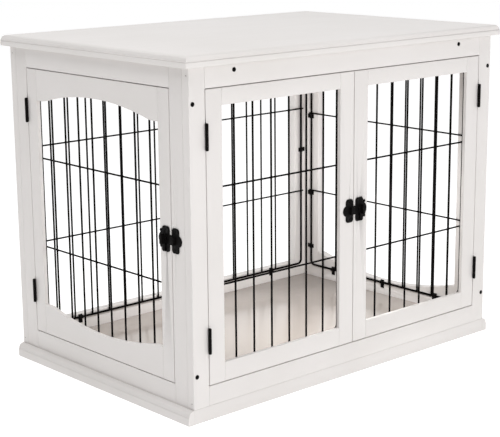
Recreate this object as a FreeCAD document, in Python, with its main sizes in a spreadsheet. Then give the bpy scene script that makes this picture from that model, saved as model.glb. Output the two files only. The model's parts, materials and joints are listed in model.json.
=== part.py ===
import FreeCAD, Part
import math
import os
import re

import Sketcher

# Dog crate end table: a wooden cabinet with wire panels, two front doors, one end door and two turn latches.
# Millimetres. +X to the right of the front, +Y to the back, +Z up; the origin is on the floor at the centre.

SIZES = {
    # cabinet
    "body_width": 772,
    "body_depth": 524,
    "base_height": 26,
    "post_height": 582,
    "frame_thickness": 17.5,
    "stile_width": 34,
    "end_stile_width": 33.5,
    "back_stile_width": 47,
    "arch_stile_width": 44.5,
    "top_rail_height": 37,
    "bottom_rail_height": 35,
    # top board
    "top_thickness": 20,
    "top_end_overhang": 14,
    "top_side_overhang": 12,
    "top_lip_height": 9.5,
    "top_lip_step": 1.2,
    "top_edge_radius": 9,
    # base
    "base_end_projection": 12.5,
    "base_lip_height": 15,
    "base_lip_step": 1.2,
    "base_edge_radius": 8.8,
    # floor and battens
    "floor_top_height": 28.5,
    "floor_thickness": 9,
    "floor_play": 0.4,
    "cleat_width": 15,
    "cleat_height": 15,
    "batten_offset": 288,
    "batten_width": 24,
    "batten_height": 22,
    # arched rails of the right end
    "arch_rail_height": 32,
    "arch_rise": 28,
    "arch_shoulder": 7.5,
    "arch_blend_radius": 45,
    # doors
    "door_gap": 1.5,
    "door_thickness": 15,
    "door_stile_width": 35,
    "door_top_rail": 29,
    "door_bottom_rail": 34,
    "lip_thickness": 7,
    "rabbet_width": 11,
    "end_door_stile": 30,
    "end_rail_height": 37,
    "end_arch_rise": 20.5,
    "end_arch_shoulder": 22,
    # wire panels
    "rim_diameter": 4.4,
    "wire_diameter": 3.6,
    "cross_diameter": 3.2,
    "weld_depth": 0.5,
    "cross_overshoot": 3,
    "rim_corner_radius": 10,
    "rim_seat": 0.2,
    "door_rim_reach": 4,
    "back_rim_drop": 6,
    "right_rim_reach": 19.4,
    "right_rim_drop": 3,
    "wire_edge_gap": 38,
    "front_wire_count": 6,
    "end_wire_count": 8,
    "back_wire_count": 16,
    "right_wire_count": 10,
    "door_low_cross": 230.5,
    "door_high_cross": 401,
    "back_low_cross": 226,
    "back_high_cross": 414,
    "right_low_cross": 229.5,
    "right_high_cross": 405,
    # clips on the rims
    "clip_thickness": 1.2,
    "clip_width": 9,
    "clip_tail": 12.4,
    "clip_toe": 5.6,
    "clip_play": 0.15,
    "clip_end_play": 0.5,
    "clip_screw_offset": 7.6,
    # hinges
    "hinge_height": 44,
    "hinge_low_center": 142,
    "hinge_high_center": 491.5,
    "knuckle_diameter": 5.6,
    "knuckle_play": 0.3,
    "segment_play": 0.2,
    "pin_diameter": 2.6,
    "pin_play": 0.05,
    "pin_head_diameter": 4.2,
    "pin_head_height": 0.8,
    "leaf_thickness": 1.2,
    "leaf_play": 0.3,
    "leaf_width": 12,
    "leaf_screw_inset": 9,
    # latches
    "latch_height": 315,
    "latch_thickness": 1.8,
    "latch_gap": 0.6,
    "nose_half_height": 8,
    "plate_lobe_center": 13.7,
    "lobe_corner_radius": 5.5,
    "plate_lobe_width": 19.5,
    "plate_height": 44.6,
    "plate_disc_center": 20.5,
    "plate_disc_diameter": 25,
    "ear_center": 27,
    "ear_rise": 13.5,
    "ear_diameter": 5.6,
    "latch_screw_rise": 16,
    "pivot_center": 17,
    "pivot_diameter": 5,
    "pivot_head_diameter": 7.2,
    "pivot_head_height": 1.2,
    "pivot_recess_diameter": 8.4,
    "pivot_recess_depth": 2,
    "boss_diameter": 16,
    "boss_height": 0.8,
    "turn_play": 0.1,
    "turn_thickness": 2,
    "turn_width": 8,
    "turn_length": 21.5,
    "hub_diameter": 15,
    "grip_length": 18,
    "grip_width": 6,
    "grip_height": 6.4,
    "keeper_lobe_center": 11.8,
    "keeper_lobe_width": 18.5,
    "keeper_height": 43.5,
    "keeper_disc_center": 18,
    "keeper_disc_diameter": 20,
    "catch_half_height": 7,
    "catch_depth": 6.5,
    "catch_engagement": 1.9,
    "catch_play": 0.5,
    "catch_lip_thickness": 1.5,
    "catch_stop_play": 0.6,
    # screws
    "screw_play": 0.05,
    "pan_head_diameter": 5.6,
    "pan_head_height": 1.6,
    "pan_shank_diameter": 2.8,
    "pan_length": 10,
    "flat_head_diameter": 5,
    "flat_shank_diameter": 2.6,
    "flat_length": 11,
    "face_head_diameter": 8,
    "face_head_height": 1,
    "face_shank_diameter": 4,
    "face_length": 42,
    "long_head_diameter": 7,
    "long_head_height": 2.4,
    "long_shank_diameter": 4,
    "long_length": 36,
    "post_screw_inset": 7.5,
    "post_screw_low": 84,
    "post_screw_high": 548,
    "rail_screw_drop": 11,
    "top_screw_offset": 150,
    "base_screw_offset": 250,
    "base_end_screw_offset": 160,
    "nail_diameter": 2.2,
    "nail_length": 48,
    "nail_sink": 0.6,
    "nail_inset": 6.5,
    "nail_drop": 13.5,
    "nail_rise": 10,
}

# Lines and planes of the cabinet, worked out from the sizes above.
PLACES = {
    "half_width": "body_width / 2",
    "half_depth": "body_depth / 2",
    "post_top": "base_height + post_height",
    "inner_half_width": "half_width - frame_thickness",
    "inner_half_depth": "half_depth - frame_thickness",
    "frame_bottom": "base_height + bottom_rail_height",
    "frame_top": "post_top - top_rail_height",
    "front_half_opening": "half_width - stile_width",
    "end_half_opening": "inner_half_depth - end_stile_width",
    "right_half_opening": "inner_half_depth - arch_stile_width",
    "door_bottom": "frame_bottom + door_gap",
    "door_top": "frame_top - door_gap",
    "door_outer_edge": "front_half_opening - door_gap",
    "door_inner_edge": "door_gap / 2",
    "door_outer_opening": "door_outer_edge - door_stile_width",
    "door_inner_opening": "door_inner_edge + door_stile_width",
    "door_glass_bottom": "door_bottom + door_bottom_rail",
    "door_glass_top": "door_top - door_top_rail",
    "end_door_edge": "end_half_opening - door_gap",
    "end_door_opening": "end_door_edge - end_door_stile",
    "end_gap_center": "end_half_opening - door_gap / 2",
    "front_hinge_x": "front_half_opening - door_gap / 2",
    "knuckle_radius": "knuckle_diameter / 2",
    "hinge_y": "0 - knuckle_radius - knuckle_play",
    "segment_height": "hinge_height / 3",
    "floor_bottom": "floor_top_height - floor_thickness",
    "rim_radius": "rim_diameter / 2",
    "cross_offset": "wire_diameter / 2 + cross_diameter / 2 - weld_depth",
    "boss_face": "latch_thickness + boss_height",
    "turn_face": "boss_face + turn_play",
    "turn_front": "turn_face + turn_thickness",
    "catch_lip_back": "turn_front + catch_play",
    "catch_lip_front": "catch_lip_back + catch_lip_thickness",
    "catch_edge": "turn_length - pivot_center - catch_engagement",
    "catch_wall": "turn_length - pivot_center + catch_stop_play + turn_play",
}

# The four walls: turn about Z and the middle of the outer face. On a wall, x runs to the right seen from outside,
# y into the cabinet and z up.
WALLS = {
    "front": (0, "0", "-half_depth"),
    "right": (90, "half_width", "0"),
    "back": (180, "0", "half_depth"),
    "left": (-90, "-half_width", "0"),
    "centre": (0, "0", "0"),
}

X_AXIS = FreeCAD.Vector(1, 0, 0)
Y_AXIS = FreeCAD.Vector(0, 1, 0)
Z_AXIS = FreeCAD.Vector(0, 0, 1)
ORIGIN = FreeCAD.Vector(0, 0, 0)
STRAIGHT = FreeCAD.Rotation()

DOC = FreeCAD.newDocument("dog_crate_end_table")
SHEET = DOC.addObject("Spreadsheet::Sheet", "Sizes")
MASTERS = {}
GROUPS = {}
CUTS = {}
NODES = []


def fill_sheet():
    """Write every size into the sheet as plain text, beside its name."""
    for row, (name, number) in enumerate(SIZES.items(), start=1):
        SHEET.set(f"A{row}", name)
        SHEET.set(f"B{row}", str(number))
        SHEET.setAlias(f"B{row}", name)
    DOC.recompute()


def formula(text):
    """Write the names in a formula as cells of the size sheet."""

    def cell(found):
        name = found.group(0)
        return f"({formula(PLACES[name])})" if name in PLACES else f"Sizes.{name}"

    return re.sub(r"[a-z]+(?:_[a-z]+)+", cell, text)


def value(text):
    """Work a formula out as a number."""
    return float(SHEET.evalExpression(formula(text)))


def bind(item, formulas):
    """Bind properties of an object to formulas over the size sheet."""
    for name, text in formulas.items():
        item.setExpression(name, formula(text))


def on_wall(wall, x, y):
    """Give the row-frame x and y formulas of a point on a wall."""
    turn, centre_x, centre_y = WALLS[wall]
    along_x, along_y = {
        0: (x, y),
        90: (f"0 - ({y})", x),
        180: (f"0 - ({x})", f"0 - ({y})"),
        -90: (y, f"0 - ({x})"),
    }[turn]
    return f"{centre_x} + ({along_x})", f"{centre_y} + ({along_y})"


def seat(item, wall, x, y, z, turn=STRAIGHT):
    """Place an object on a wall, with its position bound to the sizes."""
    wall_turn = FreeCAD.Rotation(Z_AXIS, WALLS[wall][0])
    item.Placement = FreeCAD.Placement(ORIGIN, wall_turn.multiply(turn))
    row_x, row_y = on_wall(wall, x, y)
    bind(item, {"Placement.Base.x": row_x, "Placement.Base.y": row_y, "Placement.Base.z": z})


def spot(wall, x, y, z, turn=STRAIGHT):
    """Give the placement of a point on a wall as numbers, for copies of a master."""
    wall_turn = FreeCAD.Rotation(Z_AXIS, WALLS[wall][0])
    row_x, row_y = on_wall(wall, x, y)
    base = FreeCAD.Vector(value(row_x), value(row_y), value(z))
    return FreeCAD.Placement(base, wall_turn.multiply(turn))


def span(side, near, far):
    """Give the lower and upper formula of a stretch on the left (-1) or right (+1) side of zero."""
    return (near, far) if side > 0 else (f"0 - ({far})", f"0 - ({near})")


def board(label, wall, x, y, z):
    """Make a straight board between a low and a high formula on each axis of its wall."""
    box = DOC.addObject("Part::Box", label)
    seat(box, wall, x[0], y[0], z[0])
    bind(box, {
        "Length": f"({x[1]}) - ({x[0]})",
        "Width": f"({y[1]}) - ({y[0]})",
        "Height": f"({z[1]}) - ({z[0]})",
    })
    return box


ALONG = {
    "x": FreeCAD.Rotation(Y_AXIS, 90),
    "y": FreeCAD.Rotation(X_AXIS, -90),
    "z": STRAIGHT,
}


def bar(label, wall, along, start, length, radius):
    """Make a round bar that starts at a point and runs along one axis of its wall."""
    cylinder = DOC.addObject("Part::Cylinder", label)
    seat(cylinder, wall, *start, ALONG[along])
    bind(cylinder, {"Radius": radius, "Height": length})
    return cylinder


def cone(label, wall, along, start, length, radii):
    """Make a cone that starts at a point and runs along one axis of its wall."""
    item = DOC.addObject("Part::Cone", label)
    seat(item, wall, *start, ALONG[along])
    bind(item, {"Radius1": radii[0], "Radius2": radii[1], "Height": length})
    return item


def fuse(label, items):
    """Join overlapping objects into one solid."""
    joined = DOC.addObject("Part::MultiFuse", label)
    joined.Shapes = items
    joined.Refine = True
    return joined


def cut(label, base, tools):
    """Take the tools out of a base."""
    tool = tools[0]
    if len(tools) > 1:
        tool = DOC.addObject("Part::Compound", f"{label}_tools")
        tool.Links = tools
    result = DOC.addObject("Part::Cut", label)
    result.Base = base
    result.Tool = tool
    return result


def group(label, items):
    """Keep separate solids together as one node."""
    compound = DOC.addObject("Part::Compound", label)
    compound.Links = items
    return compound


def node(name, item):
    """Name an object as a finished sub-part."""
    item.Label = name
    NODES.append(item)
    return item


def plane_of(body, role):
    """Find one of a body's own origin planes."""
    return next(item for item in body.Origin.OriginFeatures if item.Role == role)


def arc_between(start, end, radius, way):
    """Make the shorter arc from start to end; way is +1 for anticlockwise and -1 for clockwise."""
    if way < 0:
        start, end = end, start
    middle = (start + end) * 0.5
    chord = end - start
    rise = math.sqrt(max(radius ** 2 - (chord.Length / 2) ** 2, 0))
    normal = FreeCAD.Vector(-chord.y, chord.x, 0).normalize()
    centre = middle + normal * rise
    angles = [math.atan2(point.y - centre.y, point.x - centre.x) for point in (start, end)]
    if angles[1] < angles[0]:
        angles[1] += 2 * math.pi
    return Part.ArcOfCircle(Part.Circle(centre, Z_AXIS, radius), *angles)


def outline(body, role, path):
    """Draw a closed outline on a body's plane. Each corner is (x, y) or (x, y, radius, way), where the last two
    bend the edge that follows it into an arc."""
    sketch = body.newObject("Sketcher::SketchObject", f"{body.Name}_outline")
    sketch.AttachmentSupport = [(plane_of(body, role), "")]
    sketch.MapMode = "FlatFace"
    corners = [FreeCAD.Vector(value(corner[0]), value(corner[1]), 0) for corner in path]
    ends = []
    for index, corner in enumerate(path):
        start, end = corners[index], corners[(index + 1) % len(path)]
        if len(corner) == 2:
            edge = sketch.addGeometry(Part.LineSegment(start, end), False)
            ends.append((edge, 1, 2))
        else:
            edge = sketch.addGeometry(arc_between(start, end, value(corner[2]), corner[3]), False)
            ends.append((edge, 1, 2) if corner[3] > 0 else (edge, 2, 1))
            radius = sketch.addConstraint(Sketcher.Constraint("Radius", edge, value(corner[2])))
            sketch.setExpression(f"Constraints[{radius}]", formula(corner[2]))
    for index, (edge, first, last) in enumerate(ends):
        following, entry, _ = ends[(index + 1) % len(ends)]
        sketch.addConstraint(Sketcher.Constraint("Coincident", edge, last, following, entry))
        for kind, text, number, axis in (
            ("DistanceX", path[index][0], corners[index].x, -2),
            ("DistanceY", path[index][1], corners[index].y, -1),
        ):
            if text == "0":
                sketch.addConstraint(Sketcher.Constraint("PointOnObject", edge, first, axis))
            else:
                place = sketch.addConstraint(Sketcher.Constraint(kind, -1, 1, edge, first, number))
                sketch.setExpression(f"Constraints[{place}]", formula(text))
    return sketch


def pad(body, sketch, length, backwards=False):
    """Pad a sketch of a body."""
    solid = body.newObject("PartDesign::Pad", f"{sketch.Name}_pad")
    solid.Profile = sketch
    solid.Reversed = backwards
    bind(solid, {"Length": length})
    sketch.Visibility = False
    return solid


def copies(name, shapes):
    """Make a node of placed copies of master pieces."""
    item = DOC.addObject("Part::Feature", name)
    item.Shape = Part.makeCompound(shapes)
    return node(name, item)


def copy_of(kind, place, mirrored=False):
    """Give a master's shape at a place, mirrored left to right first where asked."""
    shape = MASTERS[kind].Shape
    if mirrored:
        shape = shape.mirror(ORIGIN, X_AXIS)
    return shape.transformed(place.toMatrix())


def drive(kind, screws, members, place):
    """Put a screw into a group and its hole into each member that it enters."""
    GROUPS.setdefault(screws, []).append(copy_of(kind, place))
    for member in members:
        CUTS.setdefault(member, []).append(copy_of(f"{kind}_hole", place))


def wood(name, blank, tools=()):
    """Finish a wooden member: take out its rebates, mortises and screw holes."""
    tools = list(tools)
    if name in CUTS:
        holes = DOC.addObject("Part::Feature", f"{name}_holes")
        holes.Shape = Part.makeCompound(CUTS[name])
        tools.append(holes)
    return node(name, cut(f"{name}_cut", blank, tools) if tools else blank)


# ---- master pieces ----


def make_screw(kind, size, countersunk):
    """Make one kind of screw, driven along +y with its bearing face at the origin, and the hole that it needs."""
    head_radius = f"{size}_head_diameter / 2"
    shank_radius = f"{size}_shank_diameter / 2"
    head_height = "leaf_thickness" if size == "flat" else f"{size}_head_height"
    tip = f"{size}_shank_diameter"
    if countersunk:
        head = cone(f"{kind}_head", "centre", "y", ("0", "0", "0"), head_height, (head_radius, shank_radius))
        sink_radii = (f"{head_radius} + screw_play", f"{shank_radius} + screw_play")
        sink = [cone(f"{kind}_sink", "centre", "y", ("0", "0", "0"), head_height, sink_radii)]
    else:
        head = bar(f"{kind}_head", "centre", "y", ("0", f"0 - {head_height}", "0"), head_height, head_radius)
        sink = []
    shank = bar(f"{kind}_shank", "centre", "y", ("0", "0", "0"), f"{size}_length - {tip}", shank_radius)
    point = cone(f"{kind}_tip", "centre", "y", ("0", f"{size}_length - {tip}", "0"), tip, (shank_radius, "0.3"))
    MASTERS[kind] = fuse(f"{kind}_master", [head, shank, point])
    depth = f"{size}_length + screw_play"
    bore = bar(f"{kind}_bore", "centre", "y", ("0", "0", "0"), depth, f"{shank_radius} + screw_play")
    MASTERS[f"{kind}_hole"] = fuse(f"{kind}_hole_master", [bore] + sink) if sink else bore


def make_nail():
    """Make the headless nail that ties a stile to a rail, driven along +y from the stile's edge, and its hole."""
    radius = "nail_diameter / 2"
    MASTERS["nail"] = bar("nail_master", "centre", "y", ("0", "nail_sink", "0"), "nail_length - nail_sink", radius)
    MASTERS["nail_hole"] = bar("nail_hole_master", "centre", "y", ("0", "-1", "0"), "nail_length + 1 + screw_play",
                               f"{radius} + screw_play")


def make_clip():
    """Make the saddle that holds a rim to a board: wood at y = 0, rim along x at z = 0, tail downwards."""
    body = DOC.addObject("PartDesign::Body", "clip_master")
    inner = "rim_radius + clip_play"
    outer = "rim_radius + clip_play + clip_thickness"
    seat_height = "rim_seat + rim_radius"
    path = [
        ("0", "0 - clip_tail"),
        ("clip_thickness", "0 - clip_tail"),
        ("clip_thickness", f"0 - ({outer})"),
        (seat_height, f"0 - ({outer})", outer, 1),
        (f"{seat_height} + {outer}", "0", outer, 1),
        (seat_height, outer),
        ("clip_thickness", outer),
        ("clip_thickness", "clip_toe"),
        ("0", "clip_toe"),
        ("0", inner),
        (seat_height, inner, inner, -1),
        (f"{seat_height} + {inner}", "0", inner, -1),
        (seat_height, f"0 - ({inner})"),
        ("0", f"0 - ({inner})"),
    ]
    pad(body, outline(body, "YZ_Plane", path), "clip_width")
    hole = bar("clip_hole", "centre", "y", ("clip_width / 2", "-1", "0 - clip_screw_offset"), "clip_thickness + 2",
               "pan_shank_diameter / 2 + screw_play")
    MASTERS["clip"] = cut("clip_cut", body, [hole])


def make_hinge():
    """Make the two leaves and the pin of a hinge on a z axis; the frame is on the left and the door on the right."""
    half = "hinge_height / 2"
    third = "segment_height / 2"
    plate_start = "knuckle_radius + knuckle_play"
    plate_end = "leaf_width - hinge_y"
    outer_leaf = "leaf_play / 2 + leaf_thickness"
    segments = {
        "frame": [(f"0 - {half}", f"0 - {third} - segment_play"), (f"{third} + segment_play", half)],
        "door": [(f"0 - {third}", third)],
    }
    for side, owner in ((-1, "frame"), (1, "door")):
        x = span(side, "leaf_play / 2", outer_leaf)
        pieces = [board(f"{owner}_leaf_plate", "centre", x, (plate_start, plate_end), (f"0 - {half}", half))]
        for index, z in enumerate(segments[owner]):
            name = f"{owner}_knuckle_{index}"
            pieces.append(board(f"{name}_tab", "centre", x, ("0", plate_start), z))
            pieces.append(bar(name, "centre", "z", ("0", "0", z[0]), f"({z[1]}) - ({z[0]})", "knuckle_radius"))
        bore = bar(f"{owner}_leaf_bore", "centre", "z", ("0", "0", f"-1 - {half}"), "hinge_height + 2",
                   "pin_diameter / 2 + pin_play")
        DOC.recompute()
        turn = FreeCAD.Rotation(Z_AXIS, -90 * side)
        sinks = []
        for height in (f"leaf_screw_inset - {half}", f"{half} - leaf_screw_inset"):
            x_face = "leaf_play / 2" if side > 0 else "0 - leaf_play / 2"
            place = spot("centre", x_face, "leaf_width / 2 - hinge_y", height, turn)
            sinks.append(copy_of("flat_screw_hole", place))
        holes = DOC.addObject("Part::Feature", f"{owner}_leaf_holes")
        holes.Shape = Part.makeCompound(sinks)
        MASTERS[f"{owner}_leaf"] = cut(f"{owner}_leaf_cut", fuse(f"{owner}_leaf_joined", pieces), [bore, holes])
    shaft = bar("pin_shaft", "centre", "z", ("0", "0", f"0 - {half} - pin_play"), "hinge_height + 2 * pin_play",
                "pin_diameter / 2")
    low = bar("pin_low_head", "centre", "z", ("0", "0", f"0 - {half} - pin_play - pin_head_height"),
              "pin_head_height", "pin_head_diameter / 2")
    high = bar("pin_high_head", "centre", "z", ("0", "0", f"{half} + pin_play"), "pin_head_height",
               "pin_head_diameter / 2")
    MASTERS["pin"] = fuse("pin_master", [shaft, low, high])


def lobe_pieces(name, side, centre, width, height):
    """Make a plate's upright lobe: a strip with rounded corners."""
    low = ("0 - latch_thickness", "0")
    corner = "lobe_corner_radius"
    half, rise = f"{width} / 2", f"{height} / 2"
    pieces = [
        board(f"{name}_strip", "centre", span(side, f"{centre} - {half}", f"{centre} + {half}"), low,
              (f"{corner} - {rise}", f"{rise} - {corner}")),
        board(f"{name}_core", "centre", span(side, f"{centre} - {half} + {corner}", f"{centre} + {half} - {corner}"),
              low, (f"0 - {rise}", rise)),
    ]
    for index, (across, up) in enumerate(((1, 1), (-1, 1), (-1, -1), (1, -1))):
        middle = f"{centre} + {across} * ({half} - {corner})"
        x = middle if side > 0 else f"0 - ({middle})"
        pieces.append(bar(f"{name}_corner_{index}", "centre", "y", (x, low[0], f"{up} * ({rise} - {corner})"),
                          "latch_thickness", corner))
    return pieces


def screw_sinks(name, centre):
    """Make the countersunk holes of a latch plate's two screws."""
    sinks = [
        copy_of("flat_screw_hole", spot("centre", centre, "0 - latch_thickness", height))
        for height in ("latch_screw_rise", "0 - latch_screw_rise")
    ]
    holes = DOC.addObject("Part::Feature", f"{name}_sinks")
    holes.Shape = Part.makeCompound(sinks)
    return holes


def make_latch():
    """Make a latch about the middle of its door gap: plate and turn piece on the right, keeper on the left."""
    low = ("0 - latch_thickness", "0")
    nose_z = ("0 - nose_half_height", "nose_half_height")
    plate = lobe_pieces("plate_lobe", 1, "plate_lobe_center", "plate_lobe_width", "plate_height")
    plate.append(board("plate_nose", "centre", ("latch_gap", "plate_lobe_center"), low, nose_z))
    plate.append(bar("plate_disc", "centre", "y", ("plate_disc_center", low[0], "0"), "latch_thickness",
                     "plate_disc_diameter / 2"))
    for index, rise in enumerate(("ear_rise", "0 - ear_rise")):
        plate.append(bar(f"plate_ear_{index}", "centre", "y", ("ear_center", low[0], rise), "latch_thickness",
                         "ear_diameter / 2"))
    plate.append(bar("plate_boss", "centre", "y", ("pivot_center", "0 - boss_face", "0"), "boss_face",
                     "boss_diameter / 2"))
    pivot_hole = bar("plate_pivot_hole", "centre", "y", ("pivot_center", "-10", "0"), "20",
                     "pivot_diameter / 2 + pin_play")
    joined = fuse("plate_joined", plate)
    MASTERS["latch_plate"] = cut("plate_cut", joined, [pivot_hole, screw_sinks("plate", "plate_lobe_center")])

    keeper = lobe_pieces("keeper_lobe", -1, "keeper_lobe_center", "keeper_lobe_width", "keeper_height")
    keeper.append(board("keeper_nose", "centre", ("0 - keeper_lobe_center", "0 - latch_gap"), low, nose_z))
    keeper.append(bar("keeper_disc", "centre", "y", ("0 - keeper_disc_center", low[0], "0"), "latch_thickness",
                      "keeper_disc_diameter / 2"))
    catch_z = ("0 - catch_half_height", "catch_half_height")
    wall_x = ("0 - catch_wall - catch_depth", "0 - catch_wall")
    lip_x = ("0 - catch_wall - catch_depth / 2", "0 - catch_edge")
    lip_y = ("0 - catch_lip_front", "0 - catch_lip_back")
    stop_z = ("turn_width / 2 + catch_stop_play", "catch_half_height")
    keeper.append(board("catch_wall_block", "centre", wall_x, ("0 - catch_lip_front", "0"), catch_z))
    keeper.append(board("catch_lip", "centre", lip_x, lip_y, catch_z))
    keeper.append(board("catch_stop", "centre", lip_x, ("0 - catch_lip_front", "0"), stop_z))
    joined = fuse("keeper_joined", keeper)
    MASTERS["latch_keeper"] = cut("keeper_cut", joined, [screw_sinks("keeper", "0 - keeper_lobe_center")])

    arm_x = ("pivot_center - turn_width / 2", "pivot_center + turn_width / 2")
    arm_low = "turn_width / 2 - turn_length"
    grip_x = ("pivot_center - grip_width / 2", "pivot_center + grip_width / 2")
    grip_reach = "(grip_length - grip_width) / 2"
    grip_front = "0 - turn_front - grip_height"
    grip_depth = "grip_height + turn_thickness / 2"
    turn = [
        board("turn_arm", "centre", arm_x, ("0 - turn_front", "0 - turn_face"), (arm_low, "0")),
        bar("turn_tip", "centre", "y", ("pivot_center", "0 - turn_front", arm_low), "turn_thickness",
            "turn_width / 2"),
        bar("turn_hub", "centre", "y", ("pivot_center", "0 - turn_front", "0"), "turn_thickness",
            "hub_diameter / 2"),
        board("turn_grip", "centre", grip_x, (grip_front, "0 - turn_front + turn_thickness / 2"),
              (f"0 - {grip_reach}", grip_reach)),
        bar("turn_grip_foot", "centre", "y", ("pivot_center", grip_front, f"0 - {grip_reach}"), grip_depth,
            "grip_width / 2"),
        bar("turn_grip_crown", "centre", "y", ("pivot_center", grip_front, grip_reach), grip_depth,
            "grip_width / 2"),
        bar("turn_stem", "centre", "y", ("pivot_center", "0 - turn_face", "0"), "turn_face + knuckle_play",
            "pivot_diameter / 2"),
        bar("turn_rivet", "centre", "y", ("pivot_center", "knuckle_play", "0"), "pivot_head_height",
            "pivot_head_diameter / 2"),
    ]
    MASTERS["latch_turn"] = fuse("turn_master", turn)


# ---- hardware in place ----

HINGES = {
    # door: (wall, x of the axis, side of the door, frame member, door member)
    "front_left_door": ("front", "0 - front_hinge_x", 1, "front_left_stile", "front_left_door_hinge_stile"),
    "front_right_door": ("front", "front_hinge_x", -1, "front_right_stile", "front_right_door_hinge_stile"),
    "end_door": ("left", "0 - end_gap_center", 1, "left_end_back_stile", "end_door_hinge_stile"),
}
HINGE_HEIGHTS = ("hinge_low_center", "hinge_high_center")


def place_hinges():
    """Put two hinges on each door, with their screws."""
    flip = FreeCAD.Rotation(Y_AXIS, 180)
    for door, (wall, x, side, frame_member, door_member) in HINGES.items():
        turn = STRAIGHT if side > 0 else flip
        for z in HINGE_HEIGHTS:
            place = spot(wall, x, "hinge_y", z, turn)
            GROUPS.setdefault("hinge_frame_leaves", []).append(copy_of("frame_leaf", place))
            GROUPS.setdefault(f"{door}_hinge_leaves", []).append(copy_of("door_leaf", place))
            GROUPS.setdefault("hinge_pins", []).append(copy_of("pin", place))
            for leaf_side, screws, member in (
                (-side, "cabinet_small_screws", frame_member),
                (side, f"{door}_screws", door_member),
            ):
                face = f"{x} + {leaf_side} * leaf_play / 2"
                aim = FreeCAD.Rotation(Z_AXIS, -90 * leaf_side)
                for rise in ("hinge_height / 2 - leaf_screw_inset", "leaf_screw_inset - hinge_height / 2"):
                    drive("flat_screw", screws, [member], spot(wall, face, "leaf_width / 2", f"{z} + {rise}", aim))


def mortises(name, wall, gap_centre, side):
    """Make the shallow boxes that let hinge leaves into a member on one side of the gap."""
    x = (f"{gap_centre} - door_gap", gap_centre) if side < 0 else (gap_centre, f"{gap_centre} + door_gap")
    outer = "leaf_play / 2 + leaf_thickness"
    x = (f"{gap_centre} - ({outer})", x[1]) if side < 0 else (x[0], f"{gap_centre} + {outer}")
    return [
        board(f"{name}_mortise_{index}", wall, x, ("-1", "leaf_width"),
              (f"{z} - hinge_height / 2", f"{z} + hinge_height / 2"))
        for index, z in enumerate(HINGE_HEIGHTS)
    ]


def recess(name, wall, x):
    """Make the round recess behind a latch plate for the end of its pivot."""
    return bar(f"{name}_recess", wall, "y", (x, "0 - 1", "latch_height"), "pivot_recess_depth + 1",
               "pivot_recess_diameter / 2")


LATCHES = {
    # latch: (wall, x of the gap, mirrored, plate member, plate screws, keeper node, keeper member, keeper screws)
    "front": ("front", "0", False, "front_right_door_meeting_stile", "front_right_door_screws",
              "front_latch_keeper", "front_left_door_meeting_stile", "front_left_door_screws"),
    "end": ("left", "end_gap_center", True, "end_door_latch_stile", "end_door_screws",
            "end_latch_keeper", "left_end_front_stile", "cabinet_small_screws"),
}


def place_latches():
    """Put a plate, a turn piece and a keeper at each latch, with their screws."""
    for latch, (wall, x, mirrored, member, screws, keeper, keeper_member, keeper_screws) in LATCHES.items():
        place = spot(wall, x, "0", "latch_height")
        GROUPS[f"{latch}_latch_plate"] = [copy_of("latch_plate", place, mirrored)]
        GROUPS[f"{latch}_latch_turn"] = [copy_of("latch_turn", place, mirrored)]
        GROUPS[keeper] = [copy_of("latch_keeper", place, mirrored)]
        side = -1 if mirrored else 1
        for rise in ("latch_screw_rise", "0 - latch_screw_rise"):
            height = f"latch_height + {rise}"
            plate_x = f"{x} + {side} * plate_lobe_center"
            keeper_x = f"{x} - {side} * keeper_lobe_center"
            drive("flat_screw", screws, [member], spot(wall, plate_x, "0 - latch_thickness", height))
            drive("flat_screw", keeper_screws, [keeper_member],
                  spot(wall, keeper_x, "0 - latch_thickness", height))


CLIP_TURNS = {
    "bottom": STRAIGHT,
    "top": FreeCAD.Rotation(Y_AXIS, 180),
    "left": FreeCAD.Rotation(Y_AXIS, 90),
    "right": FreeCAD.Rotation(Y_AXIS, -90),
}


def wire_pitch(half, count):
    """Give the formula of the distance between two upright wires."""
    return f"((2 * ({half}) - 2 * wire_edge_gap) / ({count} - 1))"


def place_clips(clips, screws, wall, rim, spots):
    """Hold a rim to a wall's inner face with a saddle at each spot of (side, position, member)."""
    half, low, high = rim
    face = "frame_thickness"
    for side, along, member in spots:
        start = {"bottom": (f"{along} - clip_width / 2", low), "top": (f"{along} + clip_width / 2", high),
                 "left": (f"0 - ({half})", f"{along} + clip_width / 2"),
                 "right": (half, f"{along} - clip_width / 2")}[side]
        place = spot(wall, start[0], face, start[1], CLIP_TURNS[side])
        GROUPS.setdefault(clips, []).append(copy_of("clip", place))
        hole = {"bottom": (along, f"{low} - clip_screw_offset"), "top": (along, f"{high} + clip_screw_offset"),
                "left": (f"0 - ({half}) - clip_screw_offset", along),
                "right": (f"{half} + clip_screw_offset", along)}[side]
        drive_in = spot(wall, hole[0], f"{face} + clip_thickness", hole[1], FreeCAD.Rotation(Z_AXIS, 180))
        drive("pan_screw", screws, [member], drive_in)


# Rims: half width, bottom and top of each wire panel.
BACK_RIM = ("inner_half_width - clip_tail - clip_end_play", "frame_bottom - back_rim_drop", "frame_top + back_rim_drop")
RIGHT_RIM = ("right_half_opening + right_rim_reach", "base_height + arch_rail_height - right_rim_drop",
             "post_top - arch_rail_height + right_rim_drop")
END_RIM = ("end_door_opening + door_rim_reach", "door_bottom + end_rail_height - door_rim_reach",
           "door_top - end_rail_height + door_rim_reach")
DOOR_RIM = ("(door_outer_opening - door_inner_opening) / 2 + door_rim_reach", "door_glass_bottom - door_rim_reach",
            "door_glass_top + door_rim_reach")
DOOR_CENTRE = "(door_outer_opening + door_inner_opening) / 2"

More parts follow.
